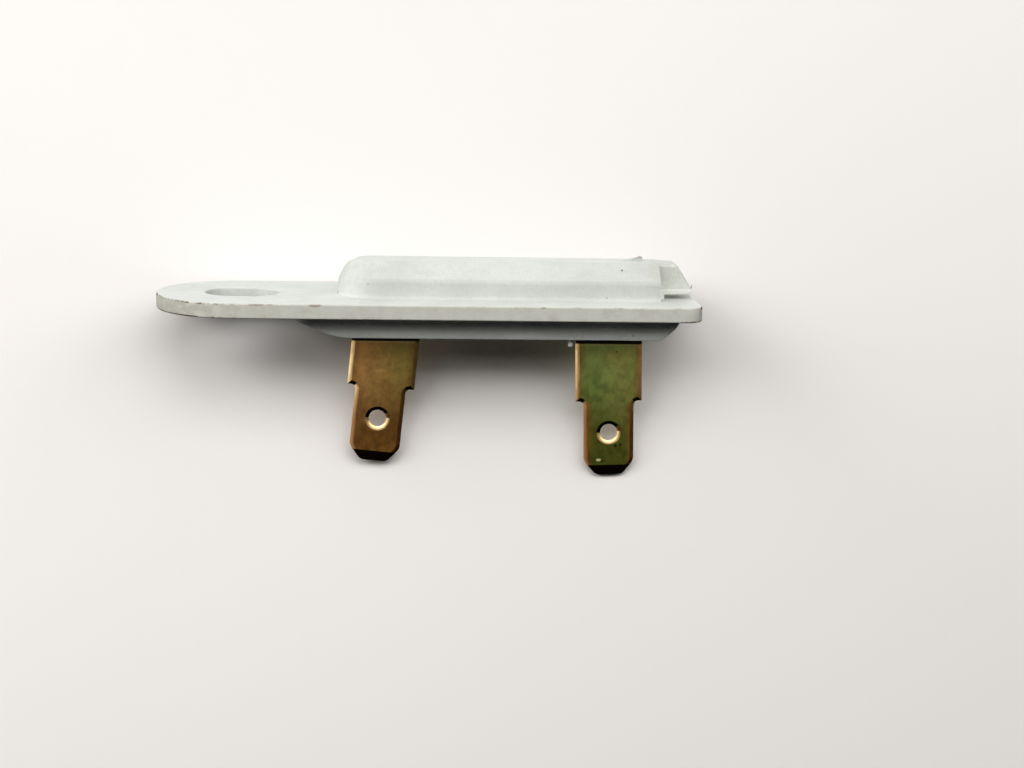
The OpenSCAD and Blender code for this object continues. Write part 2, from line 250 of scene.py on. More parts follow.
def slice_at(bm: Shell, point: Place, way: Place, close: bool = False) -> None:
    """Cuts a shell along a plane.

    Args:
        bm: The shell to cut.
        point: A point of the plane.
        way: The plane's normal.
        close: Whether what lies beyond the plane goes and the cut gets a face.
    """
    cut = bmesh.ops.bisect_plane(
        bm, geom=bm.verts[:] + bm.edges[:] + bm.faces[:], dist=SNAP / 10,
        plane_co=point, plane_no=way, clear_outer=close)["geom_cut"]
    if close:
        bmesh.ops.contextual_create(bm, geom=[g for g in cut if isinstance(g, Edge)])


def block(name: str, middle: Place, size: Place) -> Piece:
    """Makes a box.

    Args:
        name: Name of the box.
        middle: Middle of the box.
        size: Its size along each axis.

    Returns:
        The box.
    """
    bm = bmesh.new()
    made = bmesh.ops.create_cube(bm, size=1.0)["verts"]
    bmesh.ops.scale(bm, vec=size, verts=made)
    bmesh.ops.translate(bm, vec=middle, verts=made)
    return to_object(bm, name)


def to_object(bm: Shell, name: str) -> Piece:
    """Turns a shell into an object of the scene and frees it.

    Args:
        bm: The shell.
        name: Name of the object.

    Returns:
        The object.
    """
    mesh = bpy.data.meshes.new(name)
    bm.to_mesh(mesh)
    bm.free()
    made = bpy.data.objects.new(name, mesh)
    bpy.context.scene.collection.objects.link(made)
    return made


def combine(target: Piece, tool: Piece, how: Join) -> None:
    """Adds a closed shell to another or cuts it out, and removes the tool.

    Args:
        target: The piece that changes.
        tool: The shell that is worked into it.
        how: Whether the tool is added or cut out.
    """
    step = target.modifiers.new("join", "BOOLEAN")
    step.operation = how.value
    step.solver = "EXACT"
    step.object = tool
    ready = target.evaluated_get(bpy.context.evaluated_depsgraph_get())
    worked = bpy.data.meshes.new_from_object(ready)
    target.modifiers.clear()
    old = target.data
    target.data = worked
    bpy.data.meshes.remove(old)
    spent = tool.data
    bpy.data.objects.remove(tool)
    bpy.data.meshes.remove(spent)


def close_up(
    piece: Piece,
    skin_of: Callable[[Face], int],
    materials: Sequence[Material],
    place: Matrix,
    crease: float = 32.0,
) -> None:
    """Gives a piece its finishes, its smooth shading and its place in metres.

    Args:
        piece: The piece to finish.
        skin_of: Gives the material index of a face, before the piece is placed.
        materials: The finishes in index order.
        place: Where the piece goes in the part's frame, in millimetres.
        crease: Angle in degrees past which an edge stays sharp.
    """
    piece.data.materials.clear()
    for material in materials:
        piece.data.materials.append(material)
    bm = bmesh.new()
    bm.from_mesh(piece.data)
    bmesh.ops.remove_doubles(bm, verts=bm.verts, dist=SNAP / 2)
    bmesh.ops.dissolve_degenerate(bm, edges=bm.edges, dist=SNAP / 2)
    bmesh.ops.recalc_face_normals(bm, faces=bm.faces)
    for face in bm.faces:
        face.material_index = skin_of(face)
        face.smooth = True
    for edge in bm.edges:
        edge.smooth = edge.calc_face_angle(math.pi) < math.radians(crease)
    bmesh.ops.transform(bm, matrix=Matrix.Scale(MM, 4) @ place, verts=bm.verts)
    bm.to_mesh(piece.data)
    bm.free()
    normals = piece.modifiers.new("weighted normals", "WEIGHTED_NORMAL")
    normals.keep_sharp = True


def belong(piece: Piece, node: str) -> None:
    """Lets a piece stand for a solid and ride on the part.

    Args:
        piece: The finished piece.
        node: The node of the solid.
    """
    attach(piece, BODY)
    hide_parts(node)
    LOG.info("%s stands for %s, %d faces", piece.name, node, len(piece.data.polygons))


# Finishes


class NodeSheet:
    """A material's nodes and its colour so far, with short calls that add to them."""

    def __init__(self, name: str, colour: Colour) -> None:
        """Starts a material with a principled shader.

        Args:
            name: Name of the material.
            colour: Colour that the layers go on.
        """
        self.material = bpy.data.materials.new(name)
        self.material.use_nodes = True
        self.tree = self.material.node_tree
        self.shader = self.tree.nodes["Principled BSDF"]
        self.colour = colour
        self.mm = self.millimetres()
        self.x, self.z = self.axis(self.mm, "X"), self.axis(self.mm, "Z")

    def add(self, kind: str, settings: dict | None = None, **sockets: Input) -> bpy.types.Node:
        """Adds a node.

        Args:
            kind: Name of the node type.
            settings: Properties of the node itself.
            sockets: Inputs by name, as values or as sockets to link.

        Returns:
            The node.
        """
        node = self.tree.nodes.new(kind)
        for key, value in (settings or {}).items():
            setattr(node, key, value)
        for key, value in sockets.items():
            self.feed(node.inputs[key.replace("_", " ")], value)
        return node

    def feed(self, socket: Socket, value: Input) -> None:
        """Links a socket to an input, or writes a value on it.

        Args:
            socket: The input that is fed.
            value: The value, or the socket that is linked to it.
        """
        if isinstance(value, Socket):
            self.tree.links.new(value, socket)
        else:
            socket.default_value = value

    def done(self, **sockets: Input) -> Material:
        """Gives the shader its colour and other inputs.

        Args:
            sockets: Inputs of the principled shader by name.

        Returns:
            The finished material.
        """
        colour = self.colour if isinstance(self.colour, Socket) else (*self.colour, 1.0)
        for key, value in {"Base_Color": colour, **sockets}.items():
            self.feed(self.shader.inputs[key.replace("_", " ")], value)
        return self.material

    def millimetres(self, stretch: Place = (1, 1, 1)) -> Socket:
        """Gives the object's coordinates in millimetres.

        Args:
            stretch: Factor along each axis.

        Returns:
            The coordinates.
        """
        place = self.add("ShaderNodeTexCoord")
        mapped = self.add("ShaderNodeMapping", Vector=place.outputs["Object"])
        mapped.inputs["Scale"].default_value = [s / MM for s in stretch]
        return mapped.outputs["Vector"]

    def cloud(
        self, scale: float, detail: float = 3.0, rough: float = 0.55, vector: Socket | None = None
    ) -> Socket:
        """Gives a soft noise value.

        Args:
            scale: Features per millimetre.
            detail: How many finer layers of noise are added.
            rough: Weight of the finer layers.
            vector: Coordinates, or None for plain millimetres.

        Returns:
            The noise value, from 0 to 1.
        """
        node = self.add(
            "ShaderNodeTexNoise", Vector=self.mm if vector is None else vector, Scale=scale,
            Detail=detail, Roughness=rough)
        return node.outputs["Fac"]

    def window(
        self, value: Socket, low: float, high: float, to_low: float = 0.0, to_high: float = 1.0
    ) -> Socket:
        """Maps a value from one range to another, smoothly and held at the ends.

        Args:
            value: The value to map.
            low: Where the first range starts.
            high: Where the first range ends.
            to_low: What the start becomes.
            to_high: What the end becomes.

        Returns:
            The mapped value.
        """
        node = self.add("ShaderNodeMapRange", {"interpolation_type": "SMOOTHSTEP"}, Value=value)
        for name, limit in zip(RANGE, (low, high, to_low, to_high)):
            node.inputs[name].default_value = limit
        return node.outputs["Result"]

    def math(self, how: str, first: Input, second: Input = 0.0) -> Socket:
        """Works out a value from one or two others.

        Args:
            how: Name of the operation.
            first: The first value.
            second: The second value, for operations that take two.

        Returns:
            The outcome.
        """
        node = self.add("ShaderNodeMath", {"operation": how})
        self.feed(node.inputs[0], first)
        self.feed(node.inputs[1], second)
        return node.outputs[0]

    def axis(self, vector: Socket, name: str) -> Socket:
        """Gives one axis of a vector."""
        return self.add("ShaderNodeSeparateXYZ", Vector=vector).outputs[name]

    def lay(self, share: Input, over: Colour) -> None:
        """Lays a colour over the colour so far.

        Args:
            share: How much of the new colour shows, as a socket or a value.
            over: The new colour.
        """
        node = self.add("ShaderNodeMix", {"data_type": "RGBA"})
        self.feed(node.inputs["Factor"], share)
        colours = {s.name: s for s in node.inputs if s.type == "RGBA"}
        for name, colour in (("A", self.colour), ("B", over)):
            self.feed(colours[name], colour if isinstance(colour, Socket) else (*colour, 1.0))
        self.colour = next(o for o in node.outputs if o.type == "RGBA")

    def mark(self, dab: "Dab") -> None:
        """Lays a small soft mark with a ragged outline over the colour so far.

        Args:
            dab: The mark.
        """
        vector = self.mm
        for how, value in (("SUBTRACT", dab.centre), ("DIVIDE", dab.reach)):
            node = self.add("ShaderNodeVectorMath", {"operation": how})
            self.feed(node.inputs[0], vector)
            node.inputs[1].default_value = value
            vector = node.outputs[0]
        length = self.add("ShaderNodeVectorMath", {"operation": "LENGTH"})
        self.feed(length.inputs[0], vector)
        uneven = self.math("SUBTRACT", self.cloud(dab.tooth), 0.5)
        ragged = self.math(
            "ADD", length.outputs["Value"], self.math("MULTIPLY", uneven, dab.ragged))
        self.lay(self.window(ragged, 1.0, dab.core, 0.0, dab.strength), dab.colour)

    def bump(self, height: Socket, depth: float, strength: float) -> None:
        """Lets a height value shape the surface by a depth in millimetres."""
        node = self.add("ShaderNodeBump", Height=height, Strength=strength, Distance=depth * MM)
        self.feed(self.shader.inputs["Normal"], node.outputs["Normal"])


@dataclass(frozen=True)
class Dab:
    """A small mark on a surface: a speck, a nick or a smear."""

    centre: Place
    reach: Place
    colour: Colour
    strength: float = 1.0
    ragged: float = 0.5
    tooth: float = 2.4
    core: float = 0.55


@dataclass(frozen=True)
class MouldedPlastic:
    """Pale heat-proof moulding with faint clouds, dust and handling marks, and painted shade where
    asked.
    """

    name: str
    pale: Colour = linear(222, 226, 221)
    cloudy: Colour = linear(212, 216, 211)
    dust: Colour = linear(120, 108, 88)
    scuff: Colour = linear(150, 148, 134)
    toe_shade_colour: Colour = linear(150, 147, 138)
    roughness: float = 0.44
    scuff_x: Point = (NOWHERE, NOWHERE + 1.6)
    # Painted shade on the upright wall: where it lies along the part, how strong it is, and which
    # faces count as upright.
    wall_x: Point = (NOWHERE, NOWHERE + 1.0)
    wall_fade: Point = (5.0, 0.1)
    wall_shade: float = 0.84
    wall_lie: Point = (0.7, 0.42)
    foot_z: Point = (0.9, 0.5)
    foot_lie: float = 0.25
    toe_shade: float = 0.0
    toe_x: Point = (36.0, 52.5)
    raised_z: Point = (0.1, 0.8)
    dabs: tuple[Dab, ...] = ()

    def material(self) -> Material:
        """Builds the finish.

        Returns:
            The material.
        """
        sheet = NodeSheet(self.name, self.pale)
        sheet.lay(sheet.window(sheet.cloud(0.16, 4.0), 0.35, 0.68), self.cloudy)
        grain = sheet.cloud(5.5, 5.0, 0.65)
        sheet.lay(sheet.window(grain, 0.48, 0.78, 0.0, 0.22), self.dust)
        sheet.lay(self._specks(sheet), self.dust)
        worn = sheet.window(sheet.cloud(1.3, 6.0, 0.7), 0.44, 0.7, 0.0, 0.2)
        reach = sheet.window(sheet.x, *self.scuff_x, 0.5, 1.0)
        sheet.lay(sheet.math("MULTIPLY", reach, worn), self.scuff)
        # Painted shade: raised parts darken smoothly towards the toe.
        raised = sheet.window(sheet.z, *self.raised_z)
        toward_toe = sheet.window(sheet.x, *self.toe_x, 0.0, self.toe_shade)
        sheet.lay(sheet.math("MULTIPLY", toward_toe, raised), self.toe_shade_colour)
        # Painted shade: the upright wall is darkened towards black.
        sheet.lay(self._painted_wall_shade(sheet), BLACK)
        for dab in self.dabs:
            sheet.mark(dab)
        waves = sheet.math("MULTIPLY", sheet.cloud(0.45, 2.0), 2.2)
        sheet.bump(sheet.math("ADD", waves, grain), 0.02, 0.8)
        smooth, rough = self.roughness - 0.07, self.roughness + 0.1
        return sheet.done(
            Roughness=sheet.window(sheet.cloud(0.7, 4.0), 0.3, 0.7, smooth, rough),
            Specular_IOR_Level=0.5)

    def _specks(self, sheet: NodeSheet) -> Socket:
        """Scatters a few specks of dust.

        Args:
            sheet: The material's nodes.

        Returns:
            The share of the dust over the colour.
        """
        cells = sheet.add("ShaderNodeTexVoronoi", Vector=sheet.mm, Scale=0.33)
        rare = sheet.window(sheet.axis(cells.outputs["Color"], "X"), 0.93, 0.95)
        spot = sheet.window(cells.outputs["Distance"], 0.05, 0.02, 0.0, 0.7)
        return sheet.math("MULTIPLY", spot, rare)

    def _painted_wall_shade(self, sheet: NodeSheet) -> Socket:
        """Paints shade on the upright wall between the flange and the shoulder, and on its foot.

        Args:
            sheet: The material's nodes.

        Returns:
            The share of black over the colour.
        """
        lie = sheet.axis(sheet.add("ShaderNodeNewGeometry").outputs["Normal"], "Z")
        foot = sheet.window(sheet.z, *self.foot_z, 0.0, self.foot_lie)
        upright = sheet.window(
            sheet.math("SUBTRACT", lie, foot), *self.wall_lie, 0.0, 1.0 - self.wall_shade)
        (first, last), (slow, fast) = self.wall_x, self.wall_fade
        here = sheet.math(
            "MULTIPLY", sheet.window(sheet.x, first, first + slow),
            sheet.window(sheet.x, last, last - fast))
        return sheet.math("MULTIPLY", upright, here)


@dataclass(frozen=True)
class FlangeRim:
    """The flange's rim: rougher, faintly mottled, with brown dirt where hands take it."""

    name: str
    pale: Colour = linear(213, 213, 203)
    dull: Colour = linear(206, 205, 194)
    dirt: Colour = linear(96, 74, 54)
    dirt_share: float = 0.1
    tab_share: float = 0.2
    tab_x: Point = (3.0, -7.0)
    toe_x: Point = (55.6, 56.4)
    dabs: tuple[Dab, ...] = (
        Dab((9.2, -9.7, -0.14), (1.0, 0.5, 0.2), linear(122, 100, 80), 0.6, 1.4),
        Dab((2.4, -9.7, -0.1), (1.4, 0.5, 0.2), linear(132, 108, 88), 0.5, 1.5),
        Dab((37.0, -9.7, -0.16), (0.5, 0.5, 0.16), linear(140, 124, 104), 0.6, 0.9),
        Dab((56.6, -7.9, -0.2), (0.4, 1.0, 0.3), linear(110, 82, 58), 0.95, 0.9),
        Dab((55.2, -9.6, -1.78), (1.6, 0.5, 0.18), linear(110, 84, 62), 0.8, 1.5),
    )

    def material(self) -> Material:
        """Builds the finish.

        Returns:
            The material.
        """
        sheet = NodeSheet(self.name, self.pale)
        marks = sheet.cloud(0.9, 5.0, 0.6)
        sheet.lay(sheet.window(marks, 0.35, 0.72), self.dull)
        handled = sheet.math(
            "MAXIMUM", sheet.window(sheet.x, *self.tab_x), sheet.window(sheet.x, *self.toe_x))
        spots = sheet.cloud(0.55, 5.0, 0.7, sheet.millimetres((1.0, 1.0, 1.6)))
        most = sheet.window(handled, 0.0, 1.0, self.dirt_share, self.tab_share)
        reach = sheet.math("ADD", spots, sheet.math("MULTIPLY", handled, 0.1))
        sheet.lay(sheet.math("MULTIPLY", sheet.window(reach, 0.52, 0.66), most), self.dirt)
        for dab in self.dabs:
            sheet.mark(dab)
        sheet.bump(sheet.math("ADD", marks, sheet.cloud(5.0, 4.0)), 0.012, 0.8)
        return sheet.done(Roughness=0.62, Specular_IOR_Level=0.3)


@dataclass(frozen=True)
class TarnishedBrass:
    """Rolled brass gone olive and brown, with painted shade where it enters the cover."""

    name: str
    near: Colour
    far: Colour
    low: Colour
    patch: Colour
    rust: Colour
    middle_x: float
    tilt: float
    root_z: float
    cover_z: float = -4.75
    shoulder_z: float = -13.4
    side_x: Point = (-3.0, 3.4)
    low_z: Point = (-9.0, -18.0)
    rust_x: Point = (2.6, 3.9)
    grime: Colour = (0.02, 0.014, 0.004)
    pit: Colour = (0.03, 0.022, 0.008)
    glint: Colour = linear(206, 176, 112)
    root_shade: Colour = (0.004, 0.003, 0.002)
    dabs: tuple[Dab, ...] = ()
    metallic: float = 0.9

    def material(self) -> Material:
        """Builds the finish.

        Returns:
            The material.
        """
        sheet = NodeSheet(self.name, self.near)
        lean = sheet.math("MULTIPLY", sheet.math("SUBTRACT", sheet.z, self.cover_z), self.tilt)
        across = sheet.math("SUBTRACT", sheet.math("SUBTRACT", sheet.x, self.middle_x), lean)
        drift = sheet.math("MULTIPLY", sheet.math("SUBTRACT", sheet.cloud(0.22), 0.5), 7.0)
        sheet.lay(sheet.window(sheet.math("ADD", across, drift), *self.side_x), self.far)
        fade = sheet.math("ADD", sheet.z, sheet.math("MULTIPLY", drift, 0.5))
        sheet.lay(sheet.window(fade, *self.low_z), self.low)
        sheet.lay(sheet.window(sheet.cloud(0.36, 5.0, 0.6), 0.5, 0.72, 0.0, 0.6), self.patch)
        narrower = sheet.window(sheet.z, self.shoulder_z + 0.4, self.shoulder_z - 0.4)
        reach = sheet.math("ADD", sheet.math("ABSOLUTE", across), narrower)
        reach = sheet.math("ADD", reach, sheet.math("MULTIPLY", drift, 0.12))
        sheet.lay(sheet.window(reach, *self.rust_x, 0.0, 0.6), self.rust)
        grain = sheet.cloud(3.2, 5.0, 0.7, sheet.millimetres((1.0, 1.0, 0.6)))
        sheet.lay(sheet.window(grain, 0.35, 0.75, 0.0, 0.3), self.grime)
        sheet.lay(sheet.window(sheet.cloud(2.1, 6.0, 0.7), 0.62, 0.74, 0.0, 0.5), self.pit)
        for dab in self.dabs:
            sheet.mark(dab)
        root = self.root_z
        sheet.lay(sheet.window(sheet.z, root - 0.3, root - 0.16, 0.0, 0.3), self.glint)
        # Painted shade: a near-black band where the blade goes into the cover.
        sheet.lay(sheet.window(sheet.z, root - 0.12, root + 0.06), self.root_shade)
        sheet.bump(grain, 0.012, 0.6)
        rough = sheet.window(sheet.cloud(0.9, 4.0), 0.3, 0.7, 0.4, 0.56)
        return sheet.done(Metallic=self.metallic, Roughness=rough)


@dataclass(frozen=True)
class WornBrass:
    """Brass that handling keeps bright, with darker flecks left in it; the blades also use it for
    painted highlights and painted shade.
    """

    name: str
    bright: Colour = linear(252, 212, 150)
    brown: Colour = linear(176, 124, 68)
    low: Colour = linear(150, 92, 44)
    root_shade: Colour = (0.006, 0.004, 0.002)
    wear: float = 0.5
    roughness: float = 0.34
    root_z: float = NOWHERE
    low_z: Point = (-NOWHERE, -NOWHERE - 1.0)

    def material(self) -> Material:
        """Builds the finish.

        Returns:
            The material.
        """
        sheet = NodeSheet(self.name, self.bright)
        spots = sheet.cloud(0.8, 5.0, 0.62)
        sheet.lay(sheet.window(spots, 0.34, 0.7, 0.0, self.wear), self.brown)
        sheet.lay(sheet.window(sheet.z, *self.low_z, 0.0, 0.85), self.low)
        # Painted shade: a near-black band where the edge goes into the cover.
        sheet.lay(sheet.window(sheet.z, self.root_z - 0.12, self.root_z + 0.06), self.root_shade)
        sheet.bump(sheet.cloud(4.0), 0.01, 0.5)
        rough = sheet.window(spots, 0.3, 0.7, self.roughness - 0.06, self.roughness + 0.12)
        return sheet.done(Metallic=1.0, Roughness=rough)


@dataclass(frozen=True)
class PressedPellet:
    """Pressed organic powder: dull, grainy and faintly mottled."""

    name: str
    body: Colour = linear(150, 92, 60)
    fleck: Colour = linear(182, 130, 92)

    def material(self) -> Material:
        """Builds the finish.

        Returns:
            The material.
        """
        sheet = NodeSheet(self.name, self.body)
        grain = sheet.cloud(6.0, 5.0, 0.7)
        sheet.lay(sheet.window(grain, 0.4, 0.7), self.fleck)
        sheet.bump(grain, 0.03, 0.8)
        return sheet.done(Roughness=0.82)


# Sub-assemblies


@dataclass
class Housing:
    """Flange with its mounting slot, sensing chamber and toe hook, moulded in one."""

    flange: Plan = Plan(-10.6, 56.674, 9.7, 9.7, 2.2)
    thickness: float = 1.85
    edge_round: float = 0.2
    slot: Plan = Plan(-4.55, 4.55, 3.4, 3.4, 3.4)
    slot_round: float = 0.18
    chamber: Plan = Plan(11.8, 51.924, 4.6, 4.6, 4.6)
    chamber_root: float = 0.8
    toe_round: float = 1.0
    base_fillet: float = 0.42
    wall_draft: float = 0.2
    crease_z: float = 2.25
    crease_round: float = 0.42
    top_z: float = 4.45
    top_round: float = 0.373
    shoulder_steps: int = 4
    end_bulge: float = 0.62
    bulge_lift: float = 1.8
    bulge_core: float = 1.6
    cavity: Plan = Plan(13.0, 50.974, 3.4, 3.4, 1.814)
    cavity_wall_z: float = 1.836
    cavity_top_z: float = 3.45
    nose_start: float = 51.424
    nose_half: float = 2.1
    nose_root: float = -0.5
    nose_inset: float = 0.04
    nose_z: float = 4.4
    crest: Point = (54.224, 4.3)
    nose_round: float = 0.75
    tip_x: float = 56.074
    tip_z: float = 1.35
    slit_x: float = 52.674
    slit_z: float = 0.6
    lip_z: float = 1.2
    lip_root: float = -0.4
    lip_half: float = 2.35
    lip_round: float = 0.16
    slit_relief: float = 0.05
    relief_height: float = 0.4
    gate_line: tuple[Point, ...] = (
        (46.6, 4.43), (48.25, 4.69), (49.26, 4.9), (49.63, 5.09), (50.0, 5.03), (50.05, 4.2),
        (46.6, 4.2))
    gate_half: float = 0.22
    burr_line: tuple[Point, ...] = ((55.9, 1.1), (56.16, 1.2), (56.13, 1.84), (55.98, 1.5))
    burr_y: float = -2.0
    burr_half: float = 0.16
    torn_seed: int = 7
    torn_scale: float = 2.3
    torn_share: float = 0.4
    side_lie: float = 0.5
    edge_lie: float = 0.12

    def build(self) -> Piece:
        """Builds the moulding.

        Returns:
            The piece, in millimetres.
        """
        noise.seed_set(self.torn_seed)
        piece = self._flange()
        combine(piece, self._chamber(), Join.ADD)
        combine(piece, self._nose(), Join.ADD)
        combine(piece, self._lip(), Join.ADD)
        combine(piece, self._torn("gate", self.gate_line, 0.0, self.gate_half), Join.ADD)
        combine(piece, self._torn("burr", self.burr_line, self.burr_y, self.burr_half), Join.ADD)
        combine(piece, self._cavity(), Join.CUT)
        combine(piece, self._slit_floor(), Join.CUT)
        return piece

    def dress(self, piece: Piece) -> None:
        """Gives the moulding its finishes and its place.

        Args:
            piece: What build made.
        """
        speck = linear(92, 84, 70)
        # Painted shade: a soft darker patch in the corner where the shoulder meets the nose.
        corner = Dab((52.3, -2.7, 3.35), (2.6, 2.6, 1.7), linear(196, 197, 186), 0.4, 1.4)
        marks = (
            Dab((47.18, -2.9, 3.64), (0.18, 0.4, 0.16), speck, 0.85),
            Dab((11.9, -1.2, 0.2), (0.2, 0.4, 0.2), speck, 0.55),
            Dab((15.66, -4.5, 1.8), (0.24, 0.4, 0.2), speck, 0.25),
            Dab((45.2, -4.6, 0.4), (0.14, 0.4, 0.14), speck, 0.5),
            Dab((49.3, 0.0, 4.95), (1.3, 0.6, 0.22), linear(168, 162, 148), 0.7),
            corner,
        )
        burr = Dab((56.1, -2.0, 1.62), (0.3, 0.5, 0.3), linear(150, 132, 104), 0.8)
        scuffed = (51.0, 52.6)
        close_up(piece, self._skin, [
            # Painted shade on the upright wall and towards the toe.
            MouldedPlastic(
                "pale moulding", scuff_x=scuffed, wall_x=(12.5, self.chamber.x1), toe_shade=0.14,
                dabs=marks).material(),
            FlangeRim("flange rim").material(),
            FlangeRim(
                "grimy flange corner", pale=linear(212, 212, 202), dirt_share=0.35, tab_share=0.95,
                toe_x=(54.2, 55.8)).material(),
            # Painted light: the nose's sides and the lip with its slit are coloured paler to stand
            # in for light.
            MouldedPlastic(
                "toe moulding with painted light", pale=linear(233, 236, 230), cloudy=linear(221, 224, 216),
                scuff_x=scuffed, dabs=(corner, burr)).material(),
            MouldedPlastic(
                "lip moulding with painted light", pale=linear(242, 243, 236),
                cloudy=linear(230, 231, 223)).material(),
        ], Matrix.Identity(4))
        belong(piece, "housing")

    def _skin(self, face: Face) -> int:
        """Picks a face's finish by where it lies on the moulding.

        Args:
            face: The face.

        Returns:
            The material index.
        """
        middle = face.calc_center_median()
        level = abs(face.normal.z)
        # Painted light: the nose's sides and the lip take the paler finishes.
        if middle.x > self.chamber.x1 - SNAP and abs(middle.y) < self.lip_half + self.slit_relief:
            if middle.z > self.lip_z + SNAP:
                return Skin.TOE.value if abs(face.normal.y) > self.side_lie else Skin.FACE.value
            if abs(middle.z) > self.slit_relief / 2:
                return Skin.LIP.value
        inner = self.flange.inside(middle.x, middle.y) > 1.1 * self.edge_round
        if middle.z > SNAP or inner or level > LEVEL:
            return Skin.FACE.value
        return Skin.GRIME.value if level > self.edge_lie else Skin.EDGE.value

    def _flange(self) -> Piece:
        """Makes the flange plate with its slot.

        Returns:
            The closed shell.
        """
        bm = bmesh.new()
        low = plan_face(bm, self.flange, self.edge_round - self.thickness, 28)
        top, bottom = thicken(bm, low, (0, 0, self.thickness - 2 * self.edge_round))
        for cap in (top, bottom):
            step_in(bm, cap, quarter_round(self.edge_round))
        plate = to_object(bm, "housing_moulding")
        bm = bmesh.new()
        thicken(bm, plan_face(bm, self.slot, -self.thickness - OVERRUN),
                (0, 0, self.thickness + 2 * OVERRUN))
        combine(plate, to_object(bm, "slot"), Join.CUT)
        bm = bmesh.new()
        bm.from_mesh(plate.data)
        for z in (0.0, -self.thickness):
            level = at_height(z)
            soften(bm, lambda e: level(e) and all(
                abs(self.slot.inside(v.co.x, v.co.y)) < 10 * SNAP for v in e.verts
            ), self.slot_round)
        bm.to_mesh(plate.data)
        bm.free()
        return plate

    def _chamber(self) -> Piece:
        """Makes the chamber: soft foot, leaning wall, shoulder, flat top and square toe end.

        Returns:
            The closed shell.
        """
        bm = bmesh.new()
        longer = replace(self.chamber, x1=self.chamber.x1 + 2 * self.chamber.half)
        foot = plan_face(bm, longer.grown(self.base_fillet), -self.chamber_root, 24)
        top, _ = thicken(bm, foot, (0, 0, self.chamber_root))
        step_in(bm, top, self._foot_steps())
        step_in(bm, top, [(self.wall_draft, self.crease_z - self.base_fillet)])
        rise = (self.top_z - self.crease_z) / self.shoulder_steps
        step_in(bm, top, [(rise, rise)] * self.shoulder_steps)
        self._square_end(bm)
        soften(bm, at_height(self.top_z), self.top_round, 6)
        soften(bm, at_height(self.crease_z), self.crease_round, 6)
        self._round_end(bm)
        return to_object(bm, "chamber")

    def _square_end(self, bm: Shell) -> None:
        """Cuts the chamber off square at the toe and rounds the edges of the cut.

        Args:
            bm: The chamber's shell.
        """
        end, foot = self.chamber.x1, self.base_fillet - SNAP
        slice_at(bm, (end, 0, 0), (1, 0, 0), close=True)
        bmesh.ops.recalc_face_normals(bm, faces=bm.faces)
        soften(bm, lambda e: all(
            abs(v.co.x - end) < SNAP and v.co.z > foot for v in e.verts), self.toe_round, 4)

    def _foot_steps(self) -> list[Point]:
        """Gives the steps of the hollow rounding at the chamber's foot."""
        return [(rise, inset) for inset, rise in quarter_round(self.base_fillet)]

    def _round_end(self, bm: Shell) -> None:
        """Fills out the shoulder at the chamber's round end.

        Args:
            bm: The chamber's shell.
        """
        centre = Vector((self.chamber.x0 + self.chamber.r0, 0, 0))
        rise = self.top_z - self.crease_z
        for vert in bm.verts:
            arm = Vector((vert.co.x - centre.x, vert.co.y, 0))
            if arm.x >= 0 or vert.co.z <= self.crease_z or arm.length < self.bulge_core:
                continue
            share = (-arm.x / arm.length) ** 2
            height = (vert.co.z - self.crease_z) / rise
            swell = math.sin(math.pi * min(1.0, height ** self.bulge_lift))
            vert.co += arm.normalized() * self.end_bulge * share * swell

    def _cavity(self) -> Piece:
        """Makes the room inside the chamber.

        Returns:
            The tool that cuts it.
        """
        bm = bmesh.new()
        floor = plan_face(bm, self.cavity, -self.thickness - OVERRUN, 12)
        top, _ = thicken(bm, floor, (0, 0, self.cavity_wall_z + self.thickness + OVERRUN))
        slope = self.cavity_top_z - self.cavity_wall_z
        step_in(bm, top, [(slope, slope)])
        return to_object(bm, "cavity")

    def _nose(self) -> Piece:
        """Makes the toe hook's nose, with its slope and the long edges of its top rounded.

        Returns:
            The closed shell.
        """
        bm = bmesh.new()
        low, back = self.slit_z + self.nose_inset, self.tip_x - self.nose_inset
        face = side_face(bm, [(x, -self.nose_half, z) for x, z in (
            (self.nose_start, self.nose_root), (self.slit_x, self.nose_root), (self.slit_x, low),
            (back, low), (back, self.tip_z), self.crest,
            (self.chamber.x1, self.nose_z), (self.nose_start, self.nose_z))])
        thicken(bm, face, (0, 2 * self.nose_half, 0))
        crest_x, crest_z = (c - SNAP for c in self.crest)

        def upper(edge: Edge) -> bool:
            """Picks the slope's edges and the long edges of the top.

            Args:
                edge: The edge.

            Returns:
                Whether it is rounded.
            """
            ends = [v.co for v in edge.verts]
            slope = all(c.z > self.tip_z - SNAP and c.x > crest_x for c in ends)
            return slope or all(c.z > crest_z for c in ends) and lies_along(edge)

        soften(bm, upper, self.nose_round, 5)
        return to_object(bm, "nose")

    def _lip(self) -> Piece:
        """Makes the lip that hooks over the duct's edge, with its open edges rounded.

        Returns:
            The closed shell.
        """
        bm = bmesh.new()
        face = side_face(bm, [(x, -self.lip_half, z) for x, z in (
            (self.nose_start, self.lip_root), (self.slit_x, self.lip_root),
            (self.slit_x, self.slit_z), (self.tip_x, self.slit_z),
            (self.tip_x, self.lip_z), (self.nose_start, self.lip_z))])
        thicken(bm, face, (0, 2 * self.lip_half, 0))
        top, foot = at_height(self.lip_z), at_height(self.slit_z)

        def open_edge(edge: Edge) -> bool:
            """Picks the edges of the tip and the top, and the long edges below.

            Args:
                edge: The edge.

            Returns:
                Whether it is rounded.
            """
            ends = [v.co for v in edge.verts]
            tip = all(c.z > self.slit_z - SNAP and c.x > self.tip_x - SNAP for c in ends)
            return tip or top(edge) or foot(edge) and lies_along(edge)

        soften(bm, open_edge, self.lip_round)
        return to_object(bm, "lip")

